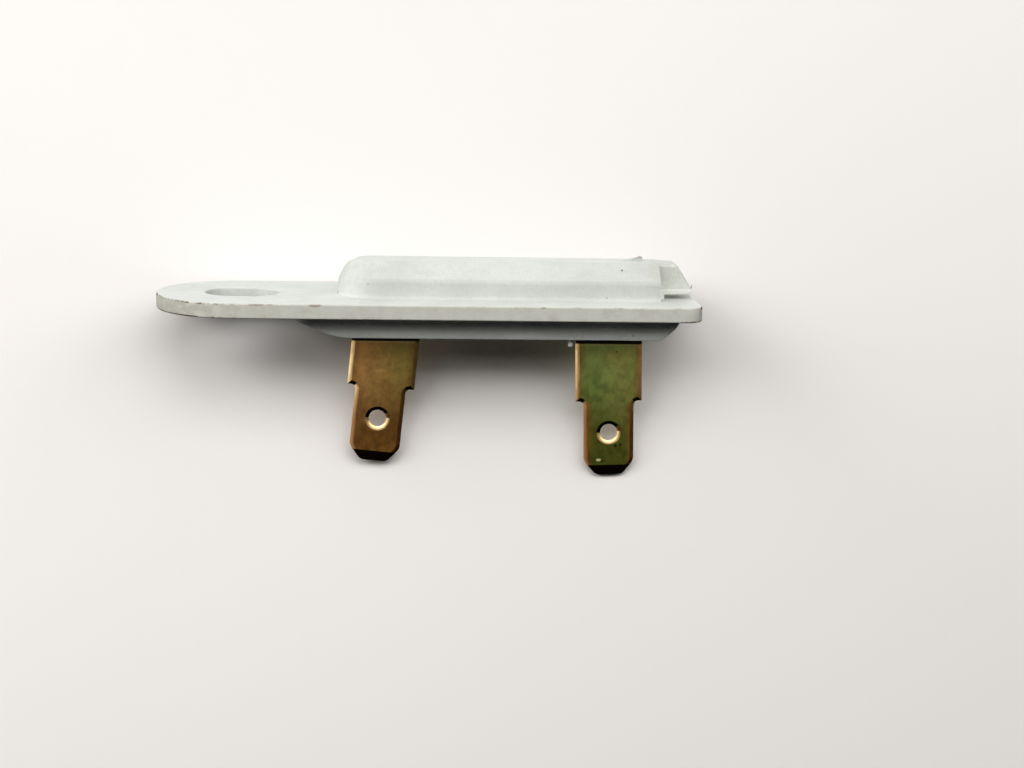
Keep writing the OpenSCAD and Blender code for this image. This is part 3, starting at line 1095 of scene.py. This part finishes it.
    def _torn(self, name: str, line: Sequence[Point], y: float, half: float) -> Piece:
        """Makes a thin torn sliver of the moulding, such as the stub that its gate left on the top.

        Args:
            name: Name of the shell.
            line: Outline of the sliver seen from the front, as x and z.
            y: Middle of the sliver.
            half: Half of its thickness.

        Returns:
            The closed shell.
        """
        bm = bmesh.new()
        face = side_face(bm, [(x, y - half, z) for x, z in line])
        thicken(bm, face, (0, 2 * half, 0))
        bmesh.ops.subdivide_edges(bm, edges=bm.edges, cuts=3, use_grid_fill=True)
        for vert in bm.verts:
            torn = noise.noise_vector(vert.co * self.torn_scale) * half * self.torn_share
            vert.co += Vector((torn.x, torn.y, min(0.0, torn.z)))
        bmesh.ops.triangulate(bm, faces=bm.faces)
        bmesh.ops.recalc_face_normals(bm, faces=bm.faces)
        return to_object(bm, name)

    def _slit_floor(self) -> Piece:
        """Makes the shallow relief under the lip.

        Returns:
            The tool that cuts it.
        """
        length = self.tip_x + self.slit_relief - self.slit_x
        return block(
            "slit floor",
            (self.slit_x + length / 2, 0, self.relief_height / 2 - self.slit_relief),
            (length, 2 * (self.lip_half + self.slit_relief), self.relief_height))


@dataclass
class RearCover:
    """Boat-shaped cover under the flange, with the slots that the blades pass through."""

    plan: Plan = Plan(6.0, 54.874, 6.6, 2.4, 2.4)
    top_z: float = -1.85
    depth: float = 2.9
    draft: float = 0.6
    rim: float = 0.25
    foot: float = 0.5
    bow_ramp: float = 6.0
    bow_blend: float = 1.6
    stern_ramp: float = 2.9
    stern_blend: float = 0.4
    bow_slices: int = 26
    stern_slices: int = 18
    seam: float = 0.05
    rim_turn: float = 0.3
    floor: float = 1.35
    cavity: Plan = Plan(13.0, 50.974, 3.4, 3.4, 1.814)
    slot_middles: tuple[float, float] = (18.057, 46.024)
    slot_lengths: tuple[float, float] = (8.915, 8.791)
    slot_y: Point = (-0.95, 0.15)
    flash: Place = (40.82, -4.8, -5.7)
    flash_r: float = 0.4
    flash_taper: float = 0.8
    flash_sink: float = 0.5
    flash_round: float = 0.1

    def build(self) -> Piece:
        """Builds the moulding.

        Returns:
            The piece, in millimetres.
        """
        piece = self._hull()
        combine(piece, self._flash(), Join.ADD)
        combine(piece, self._cavity(), Join.CUT)
        for middle, length in zip(self.slot_middles, self.slot_lengths):
            combine(piece, self._slot(middle, length), Join.CUT)
        return piece

    def dress(self, piece: Piece) -> None:
        """Gives the moulding its finish and its place.

        Args:
            piece: What build made.
        """
        close_up(piece, lambda face: Skin.FACE.value, [
            # Painted light: the cover is coloured paler than the housing to stand in for light
            # bounced up from the table.
            MouldedPlastic(
                "cover moulding with painted light", pale=linear(236, 240, 235), cloudy=linear(228, 232, 227),
                roughness=0.54).material(),
        ], Matrix.Identity(4))
        belong(piece, "rear_cover")

    def depth_at(self, x: float) -> float:
        """Gives how deep the cover is at a place along its length.

        Args:
            x: The place.

        Returns:
            The depth, which the ramps at both ends draw in.
        """
        deep = self.depth
        for start, ramp, blend, way in (
            (self.plan.x0, self.bow_ramp, self.bow_blend, 1),
            (self.plan.x1, self.stern_ramp, self.stern_blend, -1),
        ):
            slope = (self.depth - self.foot) / ramp
            past = (x - start) * way - ramp
            if past < -blend:
                deep = min(deep, self.depth + slope * past)
            elif past < blend:
                deep = min(deep, self.depth - slope * (blend - past) ** 2 / (4 * blend))
        return deep

    def _hull(self) -> Piece:
        """Makes the leaning walls, the ramps at both ends and the chamfered rim.

        Returns:
            The closed shell.
        """
        bm = bmesh.new()
        cap, _ = thicken(bm, plan_face(bm, self.plan, self.top_z, 14), (0, 0, -self.seam))
        wall = self.depth - self.rim - self.seam
        near, far = self.rim * self.rim_turn, self.rim * (1 - self.rim_turn)
        step_in(bm, cap, [(self.draft / 3, wall / 3)] * 3 + [(near, far), (far, near)])
        bow_end = self.plan.x0 + self.bow_ramp + 2 * self.bow_blend
        stern_start = self.plan.x1 - self.stern_ramp - 2 * self.stern_blend
        for start, end, count in (
            (self.plan.x0, bow_end, self.bow_slices),
            (stern_start, self.plan.x1, self.stern_slices),
        ):
            for i in range(1, count):
                slice_at(bm, (start + (end - start) * i / count, 0, 0), (1, 0, 0))
        for vert in bm.verts:
            down = self.top_z - vert.co.z
            share = self.depth_at(vert.co.x) / self.depth
            lean = self.draft * min(1.0, down / wall) * (1 - share)
            vert.co.z = self.top_z - down * share
            if abs(vert.co.y) > SNAP:
                vert.co.y += math.copysign(lean, vert.co.y)
        bmesh.ops.recalc_face_normals(bm, faces=bm.faces)
        return to_object(bm, "rear_cover_moulding")

    def _flash(self) -> Piece:
        """Makes the nub of moulding flash at the cover's front lower edge.

        Returns:
            The closed shell.
        """
        bm = bmesh.new()
        x, y, low = self.flash
        height = self.top_z - self.depth + self.flash_sink - low
        made = bmesh.ops.create_cone(
            bm, cap_ends=True, segments=18, radius1=self.flash_r * self.flash_taper,
            radius2=self.flash_r, depth=height)
        bmesh.ops.translate(bm, vec=(x, y, low + height / 2), verts=made["verts"])
        soften(bm, at_height(low), self.flash_round)
        return to_object(bm, "flash")

    def _cavity(self) -> Piece:
        """Makes the room above the cover's floor.

        Returns:
            The tool that cuts it.
        """
        bm = bmesh.new()
        floor_z = self.top_z - self.depth + self.floor
        thicken(bm, plan_face(bm, self.cavity, floor_z, 12), (0, 0, self.top_z + OVERRUN - floor_z))
        return to_object(bm, "cavity")

    def _slot(self, middle: float, length: float) -> Piece:
        """Makes the room for one blade in the cover's floor.

        Args:
            middle: Middle of the slot along the cover.
            length: Length of the slot.

        Returns:
            The tool that cuts it.
        """
        low, high = self.slot_y
        return block(
            "blade slot",
            (middle, (low + high) / 2, self.top_z - self.depth + self.floor / 2),
            (length, high - low, self.floor + OVERRUN))


@dataclass
class Blade:
    """A stamped push-on terminal with coined edges, a thinned tip and a locking hole."""

    name: str
    node: str
    x: float
    lean: float
    seat: float
    finish: TarnishedBrass
    edge: Colour
    shaded: Colour
    cover_z: float = -4.75
    sheet: float = 0.8
    plate_half: float = 2.5
    plate_top: float = 3.89
    ear_half: float = 4.725
    ear_height: float = 1.2
    shank_half: float = 4.225
    shank_length: float = 10.2
    tab_half: float = 3.175
    tip_v: float = -19.8
    tip_cut: Point = (1.5, 1.8)
    tip_bevel: Point = (1.3, 0.22)
    shoulder_r: float = 0.6
    tip_r: float = 0.5
    coin: tuple[Point, ...] = ((0.06, 0.06), (0.44, 0.14))
    hole_v: float = -14.3
    hole_r: float = 1.1
    hole_rim: float = 0.46
    stem_v: float = 2.94
    stem_r: float = 0.57
    stem_rim: float = 0.06
    drill_past: float = 0.15
    dark_turn: float = 0.35
    dark_arc: float = 0.4
    shade_arc: float = 0.1
    tip_lie: float = 0.08

    def build(self) -> Piece:
        """Builds the stamping flat, front face up.

        Returns:
            The piece, in millimetres in its own frame.
        """
        bm = bmesh.new()
        face = self._outline(bm)
        depth = sum(rise for _, rise in self.coin)
        front, back = thicken(bm, face, (0, 0, self.sheet - 2 * depth))
        bmesh.ops.translate(bm, vec=(0, 0, depth), verts=bm.verts)
        for cap in (front, back):
            step_in(bm, cap, self.coin)
        self._thin_tip(bm)
        piece = to_object(bm, self.name)
        combine(piece, self._drill(self.hole_v, self.hole_r, self.hole_rim), Join.CUT)
        combine(piece, self._drill(self.stem_v, self.stem_r, self.stem_rim), Join.CUT)
        return piece

    def dress(self, piece: Piece) -> None:
        """Gives the blade its finishes and its place.

        Args:
            piece: What build made.
        """
        root = self.finish.root_z
        place = (
            Matrix.Translation((self.x, 0, self.cover_z))
            @ Matrix.Rotation(math.radians(-self.lean), 4, "Y")
            @ Matrix.Translation((0, 0, self.seat))
            @ Matrix.Rotation(math.radians(90), 4, "X")
        )
        close_up(piece, self._metal, [
            self.finish.material(),
            # Worn brass with a painted highlight, on the coined edges turned left.
            WornBrass(
                f"{self.name} coined edge", bright=self.edge, root_z=root, low=linear(134, 84, 38),
                low_z=(-9.0, -16.0)).material(),
            # Painted shade for faces turned downwards and the upper arc of the hole's countersink.
            WornBrass(
                f"{self.name} underside in painted shade", bright=linear(18, 12, 7), brown=linear(6, 4, 3),
                roughness=0.5, wear=0.9).material(),
            # Painted highlight on the lower arc of the hole's countersink.
            WornBrass(
                f"{self.name} hole rim highlight", bright=linear(250, 214, 150), wear=0.25,
                roughness=0.28).material(),
            # Painted shade on the edges turned right.
            WornBrass(
                f"{self.name} browned edge", bright=self.shaded, brown=linear(70, 54, 26),
                wear=0.6, root_z=root, low=linear(96, 54, 26), low_z=(-10.0, -17.0)).material(),
        ], place, 40.0)
        belong(piece, self.node)

    def _metal(self, face: Face) -> int:
        """Picks a face's finish by where it lies on the stamping.

        Args:
            face: The face.

        Returns:
            The material index.
        """
        middle = face.calc_center_median()
        level = abs(face.normal.z) > LEVEL
        # Painted light and shade on the countersink: its upper arc dark, a short arc beside it in
        # the edge shade, its lower arc a bright painted highlight.
        if math.hypot(middle.x, middle.y - self.hole_v) < self.hole_r + self.hole_rim and not level:
            up = middle.y - self.hole_v
            if up - self.dark_turn * middle.x > self.dark_arc * self.hole_r:
                return Metal.UNDERSIDE_SHADE.value
            return Metal.SHADE.value if up > self.shade_arc * self.hole_r else Metal.RIM_HIGHLIGHT.value
        # Painted shade: faces turned downwards, the tip's bevel among them, take a near-black
        # finish.
        down = -face.normal.y
        at_tip = middle.y < self.tip_v + self.tip_bevel[0]
        if down > self.tip_lie and (at_tip or down > abs(face.normal.x)):
            return Metal.UNDERSIDE_SHADE.value
        if level:
            return Metal.FACE.value
        # Painted light and shade: edges turned left are painted bright as if lit, edges turned
        # right darker.
        return Metal.EDGE.value if face.normal.x < 0 else Metal.SHADE.value

    def _outline(self, bm: Shell) -> Face:
        """Lays the stamped outline, with its corners rounded.

        Args:
            bm: The shell that gets the outline.

        Returns:
            The face, looking up.
        """
        cut_x, cut_v = self.tip_cut
        right = [
            (self.plate_half, self.plate_top), (self.plate_half, self.ear_height),
            (self.ear_half, self.ear_height), (self.ear_half, 0.0),
            (self.shank_half, 0.0), (self.shank_half, -self.shank_length),
            (self.tab_half, -self.shank_length), (self.tab_half, self.tip_v + cut_v),
            (self.tab_half - cut_x, self.tip_v),
        ]
        left = [(-u, v) for u, v in reversed(right)]
        side_face(bm, [(u, v, 0.0) for u, v in left + right])

        def corners(u: float, v: float) -> list[Corner]:
            """Finds the pair of corners at a place on both sides."""
            return [w for w in bm.verts if abs(abs(w.co.x) - u) < SNAP and abs(w.co.y - v) < SNAP]

        for (u, v), radius in (
            ((self.tab_half, -self.shank_length), self.shoulder_r),
            ((self.tab_half, self.tip_v + cut_v), self.tip_r),
            ((self.tab_half - cut_x, self.tip_v), self.tip_r),
        ):
            bmesh.ops.bevel(
                bm, geom=corners(u, v), offset=radius, offset_type="OFFSET", affect="VERTICES",
                segments=6, profile=0.5, material=-1, clamp_overlap=False)
        face = bm.faces[:][0]
        face.normal_update()
        if face.normal.z < 0:
            face.normal_flip()
        return face

    def _thin_tip(self, bm: Shell) -> None:
        """Cuts the bevel on both faces of the tip and closes the cuts.

        Args:
            bm: The blade's shell.
        """
        length, depth = self.tip_bevel
        start = self.tip_v + length
        slice_at(bm, (0, start, 0), (0, 1, 0))
        for surface, way in ((self.sheet, 1), (0.0, -1)):
            slice_at(bm, (0, start, surface), (0, -depth, way * length), close=True)
        bmesh.ops.recalc_face_normals(bm, faces=bm.faces)

    def _drill(self, v: float, radius: float, rim: float) -> Piece:
        """Makes the tool of a hole with a countersunk rim on both faces.

        Args:
            v: Place of the hole along the blade.
            radius: Radius of the hole.
            rim: Width of each countersink.

        Returns:
            The tool.
        """
        bm = bmesh.new()
        low, high = -self.drill_past, self.sheet + self.drill_past
        wide, sink = radius + rim + 2 * self.drill_past, rim / 2 + self.drill_past
        line = [
            (0.0, low), (wide, low), (radius, low + sink),
            (radius, high - sink), (wide, high), (0.0, high)]
        verts = [bm.verts.new((r, 0, w)) for r, w in line]
        edges = [bm.edges.new(pair) for pair in zip(verts, verts[1:])]
        bmesh.ops.spin(
            bm, geom=verts + edges, cent=(0, 0, 0), axis=(0, 0, 1), angle=math.tau, steps=48,
            use_merge=True)
        bmesh.ops.remove_doubles(bm, verts=bm.verts, dist=SNAP)
        bmesh.ops.recalc_face_normals(bm, faces=bm.faces)
        bmesh.ops.translate(bm, vec=(0, v, 0), verts=bm.verts)
        return to_object(bm, "drill")


@dataclass
class Contacts:
    """The inner pieces, which keep their solids and get their finishes here."""

    spring: WornBrass = WornBrass(
        "spring bronze", bright=linear(190, 128, 80), brown=linear(140, 84, 48), roughness=0.32)
    rivet: WornBrass = WornBrass("rivet brass", roughness=0.36)
    button: WornBrass = WornBrass(
        "contact silver", bright=linear(212, 211, 206), brown=linear(150, 146, 138), roughness=0.28)
    pellet: PressedPellet = PressedPellet("pressed pellet")

    def dress(self, nodes: dict[str, Piece]) -> None:
        """Gives each inner solid its finish.

        Args:
            nodes: The part's solids by node.
        """
        silver = self.button.material()
        for node, material in (
            ("contact_spring", self.spring.material()),
            ("spring_rivet", self.rivet.material()),
            ("moving_contact", silver),
            ("fixed_contact", silver),
            ("thermal_pellet", self.pellet.material()),
        ):
            nodes[node].data.materials.clear()
            nodes[node].data.materials.append(material)
            LOG.info("%s keeps its solid, finish %s", node, material.name)


# Stage


@dataclass(frozen=True)
class Softbox:
    """A large flat lamp, with its direction in degrees and its size in metres.

    The level is what the lamp alone gives on a white face turned to it.
    """

    name: str
    azimuth: float
    elevation: float
    width: float
    height: float
    level: float
    tint: Colour = (1.0, 1.0, 1.0)
    distance: float = 0.42

    def hang(self, middle: Vector) -> None:
        """Hangs the lamp so that it looks at a point.

        Args:
            middle: The point, in metres.
        """
        side, rise = math.radians(self.azimuth), math.radians(self.elevation)
        flat = math.cos(rise)
        toward = Vector((math.sin(side) * flat, -math.cos(side) * flat, math.sin(rise)))
        lamp = bpy.data.lights.new(self.name, "AREA")
        lamp.shape = "RECTANGLE"
        lamp.size, lamp.size_y = self.width, self.height
        lamp.energy = self.level * (math.pi * self.distance) ** 2
        lamp.color = self.tint
        holder = bpy.data.objects.new(self.name, lamp)
        bpy.context.scene.collection.objects.link(holder)
        holder.location = middle + toward * self.distance
        holder.rotation_euler = (-toward).to_track_quat("-Z", "Y").to_euler()
        holder.visible_camera = False


@dataclass
class Stage:
    """Pale table that the part lies on, soft lamps, sky and camera."""

    table_touch: Place = (20.0, 9.7, -1.85)
    table_slope: float = 0.45
    table_size: float = 0.7
    table_colour: Colour = linear(250, 247, 245)
    table_cloud: Colour = linear(247, 243, 239)
    table_shade: Colour = linear(226, 223, 219)
    table_fade: Point = (-20.0, 150.0)
    middle: Place = (0.024, 0.0, -0.006)
    lamps: tuple[Softbox, ...] = (
        Softbox("far_left_softbox", -80.0, 27.0, 0.3, 0.34, 0.4, WARM),
        Softbox("left_softbox", -42.0, 27.0, 0.3, 0.16, 0.35, WARM),
        Softbox("front_softbox", 0.0, 42.0, 0.3, 0.23, 0.43),
        Softbox("right_softbox", 54.0, 33.0, 0.42, 0.27, 0.42, WARM),
        Softbox("rear_softbox", 180.0, 50.0, 0.4, 0.3, 0.35),
        Softbox("back_fill", 161.0, -12.0, 0.4, 0.3, 0.05),
    )
    sky_low: float = 0.002
    sky_high: float = 0.03
    sky_rise: Point = (0.0, 0.9)
    room_low: float = 0.05
    room_rise: Point = (-0.12, 0.14)
    room_side: Point = (-0.2, -0.5)
    paper: float = 0.93
    paper_tint: Colour = (1.0, 0.985, 0.965)
    eye: Place = (17.11, -248.54, 37.83)
    pitch: float = 11.194
    yaw: float = 3.877
    roll: float = -1.222
    focal_px: float = 2000.0
    width_px: float = 1024.0
    sensor: float = 36.0
    sight: Point = (0.01, 20.0)

    def build(self) -> None:
        """Sets up everything round the part."""
        self._table()
        self._sky()
        for lamp in self.lamps:
            lamp.hang(Vector(self.middle))
        self._camera()
        bpy.context.scene.view_settings.view_transform = "Standard"
        LOG.info("stage is set")

    def _table(self) -> None:
        """Lays the table under the flange's far edge and the longer blade's tip."""
        bm = bmesh.new()
        bmesh.ops.create_grid(bm, x_segments=1, y_segments=1, size=self.table_size / 2)
        lie = Matrix.Rotation(math.pi / 2 - math.atan(self.table_slope), 4, "X")
        place = Matrix.Translation(Vector(self.table_touch) * MM)
        bmesh.ops.transform(bm, matrix=place @ lie, verts=bm.verts)
        table = to_object(bm, "table")
        table.data.materials.append(self._table_top())
        table.visible_shadow = False
        table.visible_diffuse = False
        table.visible_glossy = False
        table.visible_transmission = False

    def _table_top(self) -> Material:
        """Builds the table's finish, which shows from its upper side only.

        Returns:
            The material.
        """
        sheet = NodeSheet("table top", self.table_colour)
        sheet.lay(sheet.window(sheet.cloud(0.02), 0.3, 0.7, 0.0, 0.3), self.table_cloud)
        # Painted shade: the table darkens towards the lower right.
        away = sheet.math("SUBTRACT", sheet.math("MULTIPLY", sheet.x, 0.6), sheet.z)
        sheet.lay(sheet.window(away, *self.table_fade, 0.0, 0.55), self.table_shade)
        clear = sheet.add("ShaderNodeBsdfTransparent")
        side = sheet.add("ShaderNodeNewGeometry")
        mix = sheet.add("ShaderNodeMixShader")
        for socket, value in zip(mix.inputs, (
            side.outputs["Backfacing"], sheet.shader.outputs[0], clear.outputs[0]
        )):
            sheet.feed(socket, value)
        sheet.feed(sheet.tree.nodes["Material Output"].inputs["Surface"], mix.outputs[0])
        return sheet.done(Roughness=0.9, Specular_IOR_Level=0.1)

    def _sky(self) -> None:
        """Makes a soft sky, brighter above, seen as pale paper and mirrored as a room."""
        world = bpy.data.worlds.new("soft sky")
        bpy.context.scene.world = world
        world.use_nodes = True
        tree = world.node_tree
        back = tree.nodes["Background"]
        way = tree.nodes.new("ShaderNodeTexCoord")
        split = tree.nodes.new("ShaderNodeSeparateXYZ")
        tree.links.new(way.outputs["Generated"], split.inputs[0])

        def ramp(axis: str, start: float, end: float, low: float, high: float) -> Socket:
            """Gives a smooth rise of brightness along one axis of the sky.

            Args:
                axis: Name of the axis.
                start: Where the rise starts.
                end: Where it ends.
                low: Brightness at the start.
                high: Brightness at the end.

            Returns:
                The brightness.
            """
            node = tree.nodes.new("ShaderNodeMapRange")
            node.interpolation_type = "SMOOTHSTEP"
            for name, value in zip(RANGE, (start, end, low, high)):
                node.inputs[name].default_value = value
            tree.links.new(split.outputs[axis], node.inputs["Value"])
            return node.outputs["Result"]

        def choose(share: Socket, below: Socket, above: Socket | float) -> Socket:
            """Takes the second brightness where a kind of ray asks for it.

            Args:
                share: Whether a ray is of that kind.
                below: The first brightness.
                above: The second brightness.

            Returns:
                The brightness.
            """
            node = tree.nodes.new("ShaderNodeMix")
            tree.links.new(share, node.inputs["Factor"])
            tree.links.new(below, node.inputs["A"])
            if isinstance(above, Socket):
                tree.links.new(above, node.inputs["B"])
            else:
                node.inputs["B"].default_value = above
            return node.outputs[0]

        light = ramp("Z", *self.sky_rise, self.sky_low, self.sky_high)
        room = tree.nodes.new("ShaderNodeMath")
        room.operation = "MAXIMUM"
        tree.links.new(ramp("Z", *self.room_rise, self.room_low, self.paper), room.inputs[0])
        tree.links.new(ramp("X", *self.room_side, 0.0, 1.0), room.inputs[1])
        path = tree.nodes.new("ShaderNodeLightPath")
        light = choose(path.outputs["Is Glossy Ray"], light, room.outputs[0])
        for kind in ("Is Transmission Ray", "Is Camera Ray"):
            light = choose(path.outputs[kind], light, self.paper)
        tree.links.new(light, back.inputs["Strength"])
        back.inputs["Color"].default_value = (*self.paper_tint, 1.0)

    def _camera(self) -> None:
        """Places the camera where the photograph was taken from."""
        pitch, yaw, roll = (math.radians(a) for a in (self.pitch, self.yaw, self.roll))
        ahead = Vector((
            math.sin(yaw) * math.cos(pitch), math.cos(yaw) * math.cos(pitch), -math.sin(pitch)))
        level = Vector((math.cos(yaw), -math.sin(yaw), 0))
        down = ahead.cross(level)
        right = math.cos(roll) * level + math.sin(roll) * down
        up = math.sin(roll) * level - math.cos(roll) * down
        turn = Matrix((right, up, -ahead)).transposed().to_4x4()
        lens = bpy.data.cameras.new("camera")
        lens.sensor_fit = "HORIZONTAL"
        lens.sensor_width = self.sensor
        lens.lens = self.focal_px / self.width_px * self.sensor
        lens.clip_start, lens.clip_end = self.sight
        camera = bpy.data.objects.new("camera", lens)
        camera.matrix_world = Matrix.Translation(Vector(self.eye) * MM) @ turn
        bpy.context.scene.collection.objects.link(camera)
        bpy.context.scene.camera = camera


LEFT_BRASS = TarnishedBrass(
    "olive brown brass", near=linear(184, 135, 77), far=linear(138, 121, 60),
    low=linear(117, 79, 32), patch=linear(138, 102, 52), rust=linear(120, 82, 38),
    middle_x=17.993, tilt=0.0945, root_z=-5.92,
    dabs=(Dab((17.34, -0.8, -9.7), (0.75, 0.5, 0.3), linear(190, 152, 94), 0.45, 1.2),),
)
RIGHT_BRASS = TarnishedBrass(
    "green olive brass", near=linear(136, 150, 78), far=linear(146, 152, 80),
    low=linear(86, 90, 28), patch=linear(132, 124, 60), rust=linear(132, 96, 42),
    middle_x=46.043, tilt=-0.0279, root_z=-6.04,
    dabs=(
        Dab((47.4, -0.8, -7.9), (2.2, 0.5, 1.7), linear(158, 146, 76), 0.4, 0.9),
        Dab((43.9, -0.8, -11.6), (1.9, 0.5, 2.4), linear(96, 118, 50), 0.4, 0.9),
        Dab((45.6, -0.8, -21.25), (0.5, 0.4, 0.26), linear(40, 34, 16), 0.7, 0.5),
        Dab((45.2, -0.8, -21.12), (0.4, 0.4, 0.22), linear(226, 214, 160), 1.0, 0.4),
        Dab((47.3, -0.8, -19.25), (0.25, 0.4, 0.2), linear(14, 12, 6), 0.9, 0.4),
        Dab((47.92, -0.8, -19.1), (0.24, 0.4, 0.22), linear(14, 12, 6), 0.9, 0.4),
        Dab((47.08, -0.8, -7.05), (0.16, 0.4, 0.18), linear(30, 28, 12), 0.7, 0.4),
    ),
)


def main() -> None:
    """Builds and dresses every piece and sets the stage."""
    logging.basicConfig(level=logging.INFO, format="%(name)s: %(message)s")
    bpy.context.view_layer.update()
    for maker in (
        Housing(),
        RearCover(),
        Blade(
            "left_blade", "left_terminal", x=17.993, lean=-5.4, seat=3.0928, finish=LEFT_BRASS,
            edge=linear(255, 224, 164), shaded=linear(136, 112, 56)),
        Blade(
            "right_blade", "right_terminal", x=46.043, lean=1.6, seat=1.5025, finish=RIGHT_BRASS,
            edge=linear(238, 198, 138), shaded=linear(214, 166, 104)),
    ):
        maker.dress(maker.build())
    Contacts().dress(frame["nodes"])
    Stage().build()
    bpy.context.view_layer.update()


if __name__ == "__main__":
    main()
